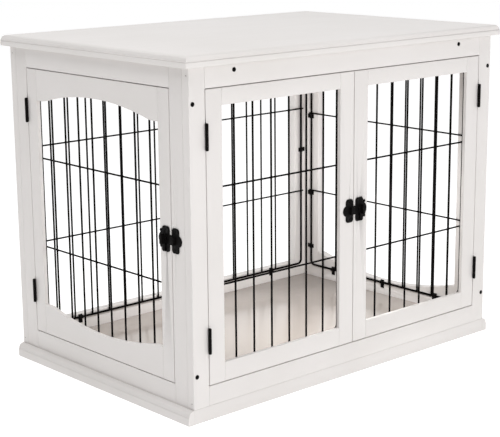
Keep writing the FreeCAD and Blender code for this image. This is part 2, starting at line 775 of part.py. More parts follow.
# Saddles of the two fixed panels, clear of the upright and the cross wires.
BACK_CLIPS = [
    ("bottom", "-262", "back_bottom_rail"), ("bottom", "262", "back_bottom_rail"),
    ("top", "-262", "back_top_rail"), ("top", "262", "back_top_rail"),
    ("left", "320", "back_right_stile"), ("right", "320", "back_left_stile"),
]
RIGHT_CLIPS = [
    ("bottom", "-150", "right_end_bottom_rail"), ("bottom", "0", "right_end_bottom_rail"),
    ("bottom", "150", "right_end_bottom_rail"), ("top", "-150", "right_end_top_rail"),
    ("top", "150", "right_end_top_rail"),
    ("left", "98", "right_end_front_stile"), ("left", "222", "right_end_front_stile"),
    ("left", "397.5", "right_end_front_stile"), ("right", "98", "right_end_back_stile"),
    ("right", "222", "right_end_back_stile"), ("right", "397.5", "right_end_back_stile"),
]


def place_rim_screws(door, wall, centre, rim, uprights):
    """Hold a door's rim in its rebate with screws whose heads overlap the rim.

    The uprights are the members on the left and on the right, each with the heights of its screws.
    """
    half, low, high = rim
    offset = "rim_radius + pan_shank_diameter / 2 + rim_seat"
    face = "lip_thickness + rim_seat + rim_diameter + clip_play"
    spots = [(f"{centre} + {shift}", f"{low} - ({offset})", f"{door}_bottom_rail") for shift in ("-84", "84")]
    spots += [(f"{centre} + {shift}", f"{high} + {offset}", f"{door}_top_rail") for shift in ("-84", "84")]
    for side, (member, heights) in zip((-1, 1), uprights):
        x = f"{centre} + {side} * ({half} + {offset})"
        spots += [(x, z, member) for z in heights]
    for x, z, member in spots:
        drive("pan_screw", f"{door}_screws", [member], spot(wall, x, face, z, FreeCAD.Rotation(Z_AXIS, 180)))


def place_nails():
    """Tie each corner of the front and back frames with a nail through the stile into the end of the rail."""
    for wall, sides in (("left", (("front", "left", 1), ("back", "left", -1))),
                        ("right", (("front", "right", -1), ("back", "right", 1)))):
        for frame, name, side in sides:
            for z, rail in (("post_top - nail_drop", "top"), ("base_height + nail_rise", "bottom")):
                members = [f"{frame}_{name}_stile", f"{frame}_{rail}_rail"]
                drive("nail", "joint_nails", members, spot(wall, f"{side} * (half_depth - nail_inset)", "0", z))


def place_frame_screws():
    """Join the frames, the battens, the top and the base with their screws."""
    post_x = "half_width - post_screw_inset"
    rail_z = "post_top - rail_screw_drop"
    for wall, left, right in (("front", "left", "right"), ("back", "right", "left")):
        for side, name in ((-1, left), (1, right)):
            for z in ("post_screw_low", "post_screw_high"):
                members = [f"{wall}_{name}_stile", f"{name}_end_{wall}_stile"]
                drive("face_screw", "frame_face_screws", members, spot(wall, f"{side} * ({post_x})", "0", z))
            members = [f"{wall}_top_rail", f"top_batten_{name}"]
            drive("face_screw", "frame_face_screws", members, spot(wall, f"{side} * batten_offset", "0", rail_z))
    up = FreeCAD.Rotation(X_AXIS, 90)
    for side, name in ((-1, "left"), (1, "right")):
        for depth in ("0 - top_screw_offset", "top_screw_offset"):
            place = spot("centre", f"{side} * batten_offset", depth, "post_top - batten_height", up)
            drive("long_screw", "long_screws", [f"top_batten_{name}", "top_board"], place)
    for wall in ("front", "back"):
        for x in ("0 - base_screw_offset", "base_screw_offset"):
            place = spot(wall, x, "frame_thickness / 2", "0", up)
            drive("long_screw", "long_screws", [f"base_{wall}_board", f"{wall}_bottom_rail"], place)
    for wall in ("left", "right"):
        for x in ("0 - base_end_screw_offset", "base_end_screw_offset"):
            place = spot(wall, x, "frame_thickness / 2", "0", up)
            drive("long_screw", "long_screws", [f"base_{wall}_board", f"{wall}_end_bottom_rail"], place)


# ---- wooden pieces ----

FULL = ("0", "frame_thickness")
POST = ("base_height", "post_top")


def make_square_frame(wall, names, half, width):
    """Make a frame of two full-height stiles with straight rails between them."""
    hinged = {member: (axis_x, side) for _, axis_x, side, member, _ in HINGES.values()}
    for side, name in zip((-1, 1), names[:2]):
        blank = board(f"{name}_blank", wall, span(side, f"{half} - {width}", half), FULL, POST)
        tools = []
        if name in hinged:
            axis_x, door_side = hinged[name]
            tools = mortises(name, wall, axis_x, -door_side)
        wood(name, blank, tools)
    between = (f"{width} - ({half})", f"{half} - {width}")
    wood(names[2], board(f"{names[2]}_blank", wall, between, FULL, ("frame_top", "post_top")))
    wood(names[3], board(f"{names[3]}_blank", wall, between, FULL, ("base_height", "frame_bottom")))


def arched_blank(name, half, middle, rise, shoulder, depth):
    """Pad a rail whose upper edge dips in an arc between two level shoulders."""
    body = DOC.addObject("PartDesign::Body", f"{name}_blank")
    reach = f"({half} - {shoulder})"
    radius = f"(({reach} * {reach} + {rise} * {rise}) / (2 * {rise}))"
    blend = "arch_blend_radius"
    top = f"({middle} + {rise})"
    drop = f"({radius} - {rise} + {blend})"
    centre_x = f"sqrt(({radius} + {blend}) * ({radius} + {blend}) - {drop} * {drop})"
    share = f"({radius} / ({radius} + {blend}))"
    joint_x = f"({centre_x} * {share})"
    joint_z = f"({middle} + {radius} - {drop} * {share})"
    path = [
        (f"0 - ({half})", "0"),
        (half, "0"),
        (half, top),
        (centre_x, top, blend, 1),
        (joint_x, joint_z, radius, -1),
        (f"0 - {joint_x}", joint_z, blend, 1),
        (f"0 - {centre_x}", top),
        (f"0 - ({half})", top),
    ]
    pad(body, outline(body, "XZ_Plane", path), depth, backwards=True)
    return body


def make_arched_rails(wall, names, shape, low, high, rebates=((), ())):
    """Make an arched bottom rail and the top rail that is the same board turned over."""
    bottom = arched_blank(names[0], *shape)
    seat(bottom, wall, "0", "0", low)
    wood(names[0], bottom, rebates[0])
    top = arched_blank(names[1], *shape)
    seat(top, wall, "0", "0", high, FreeCAD.Rotation(Y_AXIS, 180))
    wood(names[1], top, rebates[1])


def make_cabinet_frames():
    """Make the four frames of the cabinet."""
    make_square_frame("front", ["front_left_stile", "front_right_stile", "front_top_rail", "front_bottom_rail"],
                      "half_width", "stile_width")
    make_square_frame("back", ["back_right_stile", "back_left_stile", "back_top_rail", "back_bottom_rail"],
                      "half_width", "back_stile_width")
    make_square_frame("left", ["left_end_back_stile", "left_end_front_stile", "left_end_top_rail",
                               "left_end_bottom_rail"], "inner_half_depth", "end_stile_width")
    for side, name in ((-1, "right_end_front_stile"), (1, "right_end_back_stile")):
        x = span(side, "right_half_opening", "inner_half_depth")
        wood(name, board(f"{name}_blank", "right", x, FULL, POST))
    shape = ("right_half_opening", "arch_rail_height", "arch_rise", "arch_shoulder", "frame_thickness")
    make_arched_rails("right", ["right_end_bottom_rail", "right_end_top_rail"], shape, "base_height", "post_top")


def make_front_door(door, side):
    """Make a front door's stiles and rails, rebated behind for the wire panel."""
    thick = ("0", "door_thickness")
    rebate = ("lip_thickness", "door_thickness + 1")
    tall = ("door_bottom", "door_top")
    hole = ("door_glass_bottom - rabbet_width", "door_glass_top + rabbet_width")
    meeting, hinge = f"{door}_meeting_stile", f"{door}_hinge_stile"
    blank = board(f"{hinge}_blank", "front", span(side, "door_outer_opening", "door_outer_edge"), thick, tall)
    groove = board(f"{hinge}_rebate", "front",
                   span(side, "door_outer_opening - 1", "door_outer_opening + rabbet_width"), rebate, hole)
    axis_x = "front_hinge_x" if side > 0 else "0 - front_hinge_x"
    wood(hinge, blank, [groove] + mortises(hinge, "front", axis_x, -side))

    blank = board(f"{meeting}_blank", "front", span(side, "door_inner_edge", "door_inner_opening"), thick, tall)
    groove = board(f"{meeting}_rebate", "front",
                   span(side, "door_inner_opening - rabbet_width", "door_inner_opening + 1"), rebate, hole)
    tools = [groove]
    if side > 0:
        tools.append(recess(meeting, "front", "pivot_center"))
    wood(meeting, blank, tools)

    across = span(side, "door_inner_opening", "door_outer_opening")
    rails = {
        f"{door}_bottom_rail": (("door_bottom", "door_glass_bottom"),
                                ("door_glass_bottom - rabbet_width", "door_glass_bottom + 1")),
        f"{door}_top_rail": (("door_glass_top", "door_top"), ("door_glass_top - 1", "door_glass_top + rabbet_width")),
    }
    for name, (z, groove_z) in rails.items():
        blank = board(f"{name}_blank", "front", across, thick, z)
        wood(name, blank, [board(f"{name}_rebate", "front", across, rebate, groove_z)])


def make_end_door():
    """Make the end door: two stiles and two arched rails, rebated behind for the wire panel."""
    thick = ("0", "door_thickness")
    rebate = ("lip_thickness", "door_thickness + 1")
    tall = ("door_bottom", "door_top")
    step = "end_rail_height - rabbet_width"
    hole = (f"door_bottom + {step}", f"door_top - ({step})")
    groove_x = ("end_door_opening - 1", "end_door_opening + rabbet_width")
    hinge, latch = "end_door_hinge_stile", "end_door_latch_stile"
    blank = board(f"{hinge}_blank", "left", span(-1, "end_door_opening", "end_door_edge"), thick, tall)
    groove = board(f"{hinge}_rebate", "left", span(-1, *groove_x), rebate, hole)
    wood(hinge, blank, [groove] + mortises(hinge, "left", "0 - end_gap_center", 1))
    blank = board(f"{latch}_blank", "left", span(1, "end_door_opening", "end_door_edge"), thick, tall)
    groove = board(f"{latch}_rebate", "left", span(1, *groove_x), rebate, hole)
    wood(latch, blank, [groove, recess(latch, "left", "end_gap_center - pivot_center")])
    across = ("-1 - end_door_opening", "end_door_opening + 1")
    top_of_rail = "end_rail_height + end_arch_rise + 1"
    rebates = [
        [board("end_door_bottom_rail_rebate", "left", across, rebate, (hole[0], f"door_bottom + {top_of_rail}"))],
        [board("end_door_top_rail_rebate", "left", across, rebate, (f"door_top - ({top_of_rail})", hole[1]))],
    ]
    shape = ("end_door_opening", "end_rail_height", "end_arch_rise", "end_arch_shoulder", "door_thickness")
    make_arched_rails("left", ["end_door_bottom_rail", "end_door_top_rail"], shape, "door_bottom", "door_top", rebates)


def make_top():
    """Make the top board: a square lip, a small step and a rounded upper edge."""
    body = DOC.addObject("PartDesign::Body", "top_board_blank")
    half_x = "(half_width + top_end_overhang)"
    half_y = "(half_depth + top_side_overhang)"
    lip = [(f"{sx} * {half_x}", f"{sy} * {half_y}") for sx, sy in ((-1, -1), (1, -1), (1, 1), (-1, 1))]
    pad(body, outline(body, "XY_Plane", lip), "top_lip_height")
    half_x = "(half_width + top_end_overhang - top_lip_step)"
    half_y = "(half_depth + top_side_overhang - top_lip_step)"
    field = [(f"{sx} * {half_x}", f"{sy} * {half_y}") for sx, sy in ((-1, -1), (1, -1), (1, 1), (-1, 1))]
    slab = pad(body, outline(body, "XY_Plane", field), "top_thickness")
    DOC.recompute()
    upper = [
        f"Edge{index}" for index, edge in enumerate(slab.Shape.Edges, start=1)
        if abs(edge.BoundBox.ZMin - value("top_thickness")) < 1e-6
    ]
    rounded = body.newObject("PartDesign::Fillet", "top_board_edge")
    rounded.Base = (slab, upper)
    bind(rounded, {"Radius": "top_edge_radius"})
    seat(body, "centre", "0", "0", "post_top")
    wood("top_board", body)


def make_base():
    """Make the base: plain boards at the front and back, moulded boards at the ends that lap round them."""
    for wall in ("front", "back"):
        name = f"base_{wall}_board"
        blank = board(f"{name}_blank", wall, ("0 - half_width", "half_width"), FULL, ("0", "base_height"))
        wood(name, blank)
    shelf = "(base_end_projection - base_lip_step - base_edge_radius)"
    shoulder = "(base_height - base_edge_radius - base_lip_height) / 2"
    path = [
        ("frame_thickness", "0"),
        ("frame_thickness", "base_height"),
        (f"0 - {shelf}", "base_height"),
        (f"0 - {shelf}", f"base_height - {shoulder}", "base_edge_radius", 1),
        ("base_lip_step - base_end_projection", f"base_lip_height + {shoulder}"),
        ("base_lip_step - base_end_projection", "base_lip_height"),
        ("0 - base_end_projection", "base_lip_height"),
        ("0 - base_end_projection", "0"),
    ]
    for wall in ("left", "right"):
        name = f"base_{wall}_board"
        body = DOC.addObject("PartDesign::Body", f"{name}_blank")
        pad(body, outline(body, "YZ_Plane", path), "body_depth")
        seat(body, wall, "0 - half_depth", "0", "0")
        laps = [
            board(f"{name}_lap_{index}", wall, x, ("0", "frame_thickness + 1"), ("-1", "base_height + 1"))
            for index, x in enumerate((("-1 - half_depth", "0 - inner_half_depth"),
                                       ("inner_half_depth", "half_depth + 1")))
        ]
        wood(name, body, laps)


def make_floor():
    """Make the floor panel and the cleats that carry it."""
    half_x = "(inner_half_width - floor_play)"
    half_y = "(inner_half_depth - floor_play)"
    panel = board("floor_blank", "centre", (f"0 - {half_x}", half_x), (f"0 - {half_y}", half_y),
                  ("floor_bottom", "floor_top_height"))
    wood("floor_panel", panel)
    z = ("floor_bottom - cleat_height", "floor_bottom")
    cleats = [
        board("front_cleat", "front", ("0 - inner_half_width", "inner_half_width"),
              ("frame_thickness", "frame_thickness + cleat_width"), z),
        board("back_cleat", "back", ("0 - inner_half_width", "inner_half_width"),
              ("frame_thickness", "frame_thickness + cleat_width"), z),
    ]
    for wall in ("left", "right"):
        x = ("cleat_width - inner_half_depth", "inner_half_depth - cleat_width")
        cleats.append(board(f"{wall}_cleat", wall, x, ("frame_thickness", "frame_thickness + cleat_width"), z))
    node("floor_cleats", group("floor_cleat_group", cleats))


def make_battens():
    """Make the two battens under the top, bored for their screws."""
    battens = []
    for side, name in ((-1, "top_batten_left"), (1, "top_batten_right")):
        x = span(side, "batten_offset - batten_width / 2", "batten_offset + batten_width / 2")
        blank = board(f"{name}_blank", "centre", x, ("0 - inner_half_depth", "inner_half_depth"),
                      ("post_top - batten_height", "post_top"))
        holes = DOC.addObject("Part::Feature", f"{name}_holes")
        holes.Shape = Part.makeCompound(CUTS[name])
        battens.append(cut(f"{name}_cut", blank, [holes]))
    node("top_battens", group("top_batten_group", battens))


# ---- wire panels ----


def make_wire_panel(name, wall, centre, rim, plane, count, crosses):
    """Make a welded panel: a round rim with bent corners, upright wires in its plane and cross wires behind."""
    half, low, high = rim
    radius, bend = "rim_radius", "rim_corner_radius"
    left, right = f"{centre} - ({half})", f"{centre} + {half}"
    inside_x = (f"{left} + {bend}", f"{right} - {bend}")
    inside_z = (f"{low} + {bend}", f"{high} - {bend}")
    rods = []
    for index, z in enumerate((low, high)):
        rods.append(bar(f"{name}_rim_level_{index}", wall, "x", (inside_x[0], plane, z),
                        f"({inside_x[1]}) - ({inside_x[0]})", radius))
    for index, x in enumerate((left, right)):
        rods.append(bar(f"{name}_rim_upright_{index}", wall, "z", (x, plane, inside_z[0]),
                        f"({inside_z[1]}) - ({inside_z[0]})", radius))
    corners = ((inside_x[1], inside_z[1]), (inside_x[0], inside_z[1]), (inside_x[0], inside_z[0]),
               (inside_x[1], inside_z[0]))
    for index, (x, z) in enumerate(corners):
        corner = DOC.addObject("Part::Torus", f"{name}_rim_corner_{index}")
        turn = FreeCAD.Rotation(X_AXIS, 90).multiply(FreeCAD.Rotation(Z_AXIS, 90 * index))
        seat(corner, wall, x, plane, z, turn)
        corner.Angle3 = 90
        bind(corner, {"Radius1": bend, "Radius2": radius})
        rods.append(corner)
    wires = int(value(count))
    pitch = wire_pitch(half, count)
    for index in range(wires):
        x = f"{left} + wire_edge_gap + {index} * {pitch}"
        rods.append(bar(f"{name}_wire_{index}", wall, "z", (x, plane, low), f"({high}) - ({low})",
                        "wire_diameter / 2"))
    for index, z in enumerate(crosses):
        rods.append(bar(f"{name}_cross_{index}", wall, "x", (f"{left} - cross_overshoot", f"{plane} + cross_offset", z),
                        f"2 * ({half}) + 2 * cross_overshoot", "cross_diameter / 2"))
    node(name, fuse(f"{name}_welded", rods))


def make_wire_panels():
    """Make the five wire panels."""
    door_crosses = ("door_low_cross", "door_high_cross")
    rebate_plane = "lip_thickness + rim_seat + rim_radius"
    make_wire_panel("front_left_door_wire_panel", "front", f"0 - {DOOR_CENTRE}", DOOR_RIM, rebate_plane,
                    "front_wire_count", door_crosses)
    make_wire_panel("front_right_door_wire_panel", "front", DOOR_CENTRE, DOOR_RIM, rebate_plane,
                    "front_wire_count", door_crosses)
    make_wire_panel("end_door_wire_panel", "left", "0", END_RIM, rebate_plane, "end_wire_count", door_crosses)
    fixed_plane = "frame_thickness + rim_seat + rim_radius"
    make_wire_panel("back_wire_panel", "back", "0", BACK_RIM, fixed_plane, "back_wire_count",
                    ("back_low_cross", "back_high_cross"))
    make_wire_panel("right_end_wire_panel", "right", "0", RIGHT_RIM, fixed_plane, "right_wire_count",
                    ("right_low_cross", "right_high_cross"))


def make_hardware():
    """Make the master pieces and put their copies in place."""
    make_screw("pan_screw", "pan", False)
    make_screw("flat_screw", "flat", True)
    make_screw("face_screw", "face", False)
    make_screw("long_screw", "long", True)
    DOC.recompute()
    make_nail()
    make_clip()
    make_hinge()
    make_latch()
    DOC.recompute()
    place_hinges()
    place_latches()
    clips, screws = "cabinet_wire_clips", "cabinet_small_screws"
    place_clips(clips, screws, "back", BACK_RIM, BACK_CLIPS)
    place_clips(clips, screws, "right", RIGHT_RIM, RIGHT_CLIPS)
    meeting, hinged = ("304",), ("116", "406")
    place_rim_screws("front_left_door", "front", f"0 - {DOOR_CENTRE}", DOOR_RIM,
                     [("front_left_door_hinge_stile", hinged), ("front_left_door_meeting_stile", meeting)])
    place_rim_screws("front_right_door", "front", DOOR_CENTRE, DOOR_RIM,
                     [("front_right_door_meeting_stile", meeting), ("front_right_door_hinge_stile", hinged)])
    place_rim_screws("end_door", "left", "0", END_RIM,
                     [("end_door_hinge_stile", ("157", "450")), ("end_door_latch_stile", ("180", "450"))])
    place_nails()
    place_frame_screws()
    for name, shapes in GROUPS.items():
        copies(name, shapes)


def check_objects():
    """Stop if any object failed or any sub-part has no valid solid."""
    for item in DOC.Objects:
        if "Invalid" in item.State or "Error" in item.State:
            raise RuntimeError(f"{item.Name} failed: {item.State}")
    for item in NODES:
        if item.Shape.isNull() or not item.Shape.isValid() or not item.Shape.Solids:
            raise RuntimeError(f"{item.Label} has no valid solid")


def write_nodes():
    """Write one STEP file for each sub-part."""
    os.makedirs("parts", exist_ok=True)
    for item in NODES:
        item.Shape.exportStep(f"parts/{item.Label}.step")
        print(f"{item.Label}: {len(item.Shape.Solids)} solids, {item.Shape.Volume / 1000:.2f} cm3")
    print(f"{len(NODES)} nodes")


fill_sheet()
make_hardware()
make_top()
make_battens()
make_cabinet_frames()
make_base()
make_floor()
make_front_door("front_left_door", -1)
make_front_door("front_right_door", 1)
make_end_door()
make_wire_panels()
DOC.recompute()
check_objects()
write_nodes()
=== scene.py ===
"""A white wooden dog crate end table with black wire panels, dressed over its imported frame."""

import json
import logging
import math
from dataclasses import dataclass, field
from enum import Enum

import bmesh
import bpy
from mathutils import Euler, Matrix, Vector

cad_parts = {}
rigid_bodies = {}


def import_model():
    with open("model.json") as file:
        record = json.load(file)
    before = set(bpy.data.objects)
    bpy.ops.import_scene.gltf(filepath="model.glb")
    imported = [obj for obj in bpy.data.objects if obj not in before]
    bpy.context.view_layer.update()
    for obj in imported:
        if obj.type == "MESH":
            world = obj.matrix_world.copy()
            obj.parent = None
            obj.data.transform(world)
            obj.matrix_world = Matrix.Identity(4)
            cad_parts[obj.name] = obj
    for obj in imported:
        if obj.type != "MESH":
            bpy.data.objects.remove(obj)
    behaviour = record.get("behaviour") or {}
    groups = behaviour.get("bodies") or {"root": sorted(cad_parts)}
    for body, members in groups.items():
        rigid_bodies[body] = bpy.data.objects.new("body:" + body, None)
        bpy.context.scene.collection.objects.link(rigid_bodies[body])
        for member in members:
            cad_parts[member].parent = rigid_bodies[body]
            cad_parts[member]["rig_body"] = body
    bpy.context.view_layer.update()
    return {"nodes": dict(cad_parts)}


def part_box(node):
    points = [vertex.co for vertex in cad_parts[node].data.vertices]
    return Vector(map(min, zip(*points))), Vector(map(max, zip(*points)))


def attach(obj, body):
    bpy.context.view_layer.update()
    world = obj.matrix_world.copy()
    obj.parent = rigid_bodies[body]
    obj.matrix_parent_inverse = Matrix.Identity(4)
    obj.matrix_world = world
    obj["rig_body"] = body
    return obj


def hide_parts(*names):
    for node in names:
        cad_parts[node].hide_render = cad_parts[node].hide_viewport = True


LOG = logging.getLogger("dog_crate_end_table")
MILLIMETRE = 0.001
SMOOTH_BELOW = math.radians(35)
FLAT_WITHIN = math.radians(0.5)
DOUBLES_WITHIN = 1e-6
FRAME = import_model()


class Wall(Enum):
    """The four walls, each as its turn about Z in degrees and the middle of its outer face."""

    FRONT = (0.0, (0.0, -0.262))
    RIGHT = (90.0, (0.386, 0.0))
    BACK = (180.0, (0.0, 0.262))
    LEFT = (-90.0, (-0.386, 0.0))

    def matrix(self) -> Matrix:
        """Return the matrix from wall coordinates (x right, y inward, z up) to the row frame."""
        turn, (x, y) = self.value
        return Matrix.Translation((x, y, 0.0)) @ Matrix.Rotation(math.radians(turn), 4, "Z")


class Grain(Enum):
    """The axis along which brush strokes and wood grain run on a board."""

    ALONG_X = (1.0, 14.0, 14.0)
    ALONG_Y = (14.0, 1.0, 14.0)
    ALONG_Z = (14.0, 14.0, 1.0)


def linear(*srgb: int) -> tuple[float, float, float, float]:
    """Turn an 8-bit sRGB colour into a linear one.

    Args:
        srgb: The red, green and blue values from 0 to 255.

    Returns:
        The linear colour with an alpha of 1.
    """
    values = [value / 255 for value in srgb]
    lifted = [value / 12.92 if value <= 0.04045 else ((value + 0.055) / 1.055) ** 2.4 for value in values]
    return lifted[0], lifted[1], lifted[2], 1.0


# ---- shader groups ----


def new_group(name: str, inputs: dict[str, float | None], outputs: tuple[str, ...]) -> bpy.types.NodeTree:
    """Start a shader node group with a vector input, named numbers and named outputs.

    Args:
        name: The group's name.
        inputs: The number inputs and their defaults; None marks a vector.
        outputs: The names of the value outputs.

    Returns:
        The empty group.
    """
    tree = bpy.data.node_groups.new(name, "ShaderNodeTree")
    for socket, default in inputs.items():
        kind = "NodeSocketVector" if default is None else "NodeSocketFloat"
        made = tree.interface.new_socket(name=socket, in_out="INPUT", socket_type=kind)
        if default is not None:
            made.default_value = default
    for socket in outputs:
        tree.interface.new_socket(name=socket, in_out="OUTPUT", socket_type="NodeSocketFloat")
    tree.nodes.new("NodeGroupInput").name = "given"
    tree.nodes.new("NodeGroupOutput").name = "result"
    return tree


class ShaderKit:
    """The effects that more than one finish uses, each built once as a node group."""

    PORE_SCALE = 0.22
    DRIFT_SPAN = (0.3, 0.7)

    def __init__(self) -> None:
        """Build every group."""
        self.brushwork = self._brushwork()
        self.drift = self._drift()
        self.specks = self._specks()

    @staticmethod
    def _noise(tree: bpy.types.NodeTree, detail: float, rough: float) -> bpy.types.Node:
        """Add a noise texture.

        Args:
            tree: The group that it goes into.
            detail: How many finer layers it has.
            rough: How strongly the finer layers show.

        Returns:
            The noise node.
        """
        noise = tree.nodes.new("ShaderNodeTexNoise")
        noise.inputs["Detail"].default_value = detail
        noise.inputs["Roughness"].default_value = rough
        return noise

    def _brushwork(self) -> bpy.types.NodeTree:
        """Build long fine strokes with a little grain showing through, stretched by the vector given.

        Returns:
            The group.
        """
        tree = new_group("brushwork", {"Vector": None, "Fineness": 60.0, "Grain": 0.5}, ("Height",))
        given, result = tree.nodes["given"], tree.nodes["result"]
        strokes = self._noise(tree, detail=3.0, rough=0.6)
        pores = self._noise(tree, detail=2.0, rough=0.5)
        coarser = tree.nodes.new("ShaderNodeMath")
        coarser.operation = "MULTIPLY"
        coarser.inputs[1].default_value = self.PORE_SCALE
        mix = tree.nodes.new("ShaderNodeMix")
        tree.links.new(given.outputs["Vector"], strokes.inputs["Vector"])
        tree.links.new(given.outputs["Fineness"], strokes.inputs["Scale"])
        tree.links.new(given.outputs["Vector"], pores.inputs["Vector"])
        tree.links.new(given.outputs["Fineness"], coarser.inputs[0])
        tree.links.new(coarser.outputs[0], pores.inputs["Scale"])
        tree.links.new(given.outputs["Grain"], mix.inputs["Factor"])
        tree.links.new(strokes.outputs["Fac"], mix.inputs["A"])
        tree.links.new(pores.outputs["Fac"], mix.inputs["B"])
        tree.links.new(mix.outputs["Result"], result.inputs["Height"])
        return tree

    def _drift(self) -> bpy.types.NodeTree:
        """Build a slow change of tone over a surface, between 0 and 1.

        Returns:
            The group.
        """
        tree = new_group("tone_drift", {"Vector": None, "Scale": 5.0}, ("Amount",))
        given, result = tree.nodes["given"], tree.nodes["result"]
        clouds = self._noise(tree, detail=4.0, rough=0.55)
        spread = tree.nodes.new("ShaderNodeMapRange")
        spread.inputs["From Min"].default_value = self.DRIFT_SPAN[0]
        spread.inputs["From Max"].default_value = self.DRIFT_SPAN[1]
        tree.links.new(given.outputs["Vector"], clouds.inputs["Vector"])
        tree.links.new(given.outputs["Scale"], clouds.inputs["Scale"])
        tree.links.new(clouds.outputs["Fac"], spread.inputs["Value"])
        tree.links.new(spread.outputs["Result"], result.inputs["Amount"])
        return tree

    def _specks(self) -> bpy.types.NodeTree:
        """Build the fine orange peel of a powder coat.

        Returns:
            The group.
        """
        tree = new_group("powder_peel", {"Vector": None, "Scale": 1500.0}, ("Height",))
        given, result = tree.nodes["given"], tree.nodes["result"]
        peel = self._noise(tree, detail=1.0, rough=0.4)
        tree.links.new(given.outputs["Vector"], peel.inputs["Vector"])
        tree.links.new(given.outputs["Scale"], peel.inputs["Scale"])
        tree.links.new(peel.outputs["Fac"], result.inputs["Height"])
        return tree


@dataclass(frozen=True)
class Finish:
    """What every finish shares: two tones that drift into each other, and a rough surface."""

    name: str
    light: tuple[int, int, int]
    dark: tuple[int, int, int]
    roughness: float = 0.5
    drift_scale: float = 4.0

    def start(self, kit: ShaderKit) -> tuple[bpy.types.Material, bpy.types.Node, bpy.types.Node]:
        """Make the material with its drifting colour.

        Args:
            kit: The shared node groups.

        Returns:
            The material, its shader and its coordinates node.
        """
        material = bpy.data.materials.new(self.name)
        material.use_nodes = True
        tree = material.node_tree
        shader = tree.nodes["Principled BSDF"]
        place = tree.nodes.new("ShaderNodeTexCoord")
        drift = tree.nodes.new("ShaderNodeGroup")
        drift.node_tree = kit.drift
        drift.inputs["Scale"].default_value = self.drift_scale
        colour = tree.nodes.new("ShaderNodeMix")
        colour.data_type = "RGBA"
        colour.inputs["A"].default_value = linear(*self.light)
        colour.inputs["B"].default_value = linear(*self.dark)
        shader.inputs["Roughness"].default_value = self.roughness
        tree.links.new(place.outputs["Object"], drift.inputs["Vector"])
        tree.links.new(drift.outputs["Amount"], colour.inputs["Factor"])
        tree.links.new(colour.outputs["Result"], shader.inputs["Base Color"])
        return material, shader, place

    @staticmethod
    def bump(material: bpy.types.Material, shader: bpy.types.Node, height: bpy.types.NodeSocket,
             strength: float, distance: float) -> None:
        """Raise the surface of a material by a height.

        Args:
            material: The material.
            shader: Its Principled BSDF.
            height: The output that gives the height.
            strength: How strongly it shows.
            distance: The height of 1, in metres.
        """
        raised = material.node_tree.nodes.new("ShaderNodeBump")
        raised.inputs["Strength"].default_value = strength
        raised.inputs["Distance"].default_value = distance
        material.node_tree.links.new(height, raised.inputs["Height"])
        material.node_tree.links.new(raised.outputs["Normal"], shader.inputs["Normal"])


@dataclass(frozen=True)
class BrushedPaint(Finish):
    """White paint laid on wood, with strokes along the board that change its height and its shine."""

    grain: Grain = Grain.ALONG_X
    strength: float = 0.25
    fineness: float = 22.0
    relief: float = 0.0006
    shine_change: float = 0.1

    def make(self, kit: ShaderKit) -> bpy.types.Material:
        """Make the paint.

        Args:
            kit: The shared node groups.

        Returns:
            The material.
        """
        material, shader, place = self.start(kit)
        tree = material.node_tree
        stretch = tree.nodes.new("ShaderNodeMapping")
        stretch.inputs["Scale"].default_value = self.grain.value
        strokes = tree.nodes.new("ShaderNodeGroup")
        strokes.node_tree = kit.brushwork
        strokes.inputs["Fineness"].default_value = self.fineness
        patchy = tree.nodes.new("ShaderNodeMapRange")
        patchy.inputs["To Min"].default_value = self.roughness - self.shine_change
        patchy.inputs["To Max"].default_value = self.roughness + self.shine_change
        tree.links.new(place.outputs["Object"], stretch.inputs["Vector"])
        tree.links.new(stretch.outputs["Vector"], strokes.inputs["Vector"])
        tree.links.new(strokes.outputs["Height"], patchy.inputs["Value"])
        tree.links.new(patchy.outputs["Result"], shader.inputs["Roughness"])
        self.bump(material, shader, strokes.outputs["Height"], self.strength, self.relief)
        return material


@dataclass(frozen=True)
class PolishedPanel(BrushedPaint):
    """The smooth floor panel, with faint wide streaks under a clear gloss."""

    strength: float = 0.08
    fineness: float = 6.0
    relief: float = 0.0004
    shine_change: float = 0.06
    gloss: float = 0.3
    gloss_roughness: float = 0.15

    def make(self, kit: ShaderKit) -> bpy.types.Material:
        """Make the gloss of the floor.

        Args:
            kit: The shared node groups.

        Returns:
            The material.
        """
        material = super().make(kit)
        shader = material.node_tree.nodes["Principled BSDF"]
        shader.inputs["Coat Weight"].default_value = self.gloss
        shader.inputs["Coat Roughness"].default_value = self.gloss_roughness
        return material


@dataclass(frozen=True)
class PowderCoat(Finish):
    """Coated or plated metal with a fine peel."""

    metallic: float = 0.0
    peel: float = 0.3
    shine: float = 0.5
    relief: float = 0.0001

    def make(self, kit: ShaderKit) -> bpy.types.Material:
        """Make the coat.

        Args:
            kit: The shared node groups.

        Returns:
            The material.
        """
        material, shader, place = self.start(kit)
        tree = material.node_tree
        peel = tree.nodes.new("ShaderNodeGroup")
        peel.node_tree = kit.specks
        tree.links.new(place.outputs["Object"], peel.inputs["Vector"])
        shader.inputs["Metallic"].default_value = self.metallic
        shader.inputs["Specular IOR Level"].default_value = self.shine
        self.bump(material, shader, peel.outputs["Height"], self.peel, self.relief)
        return material


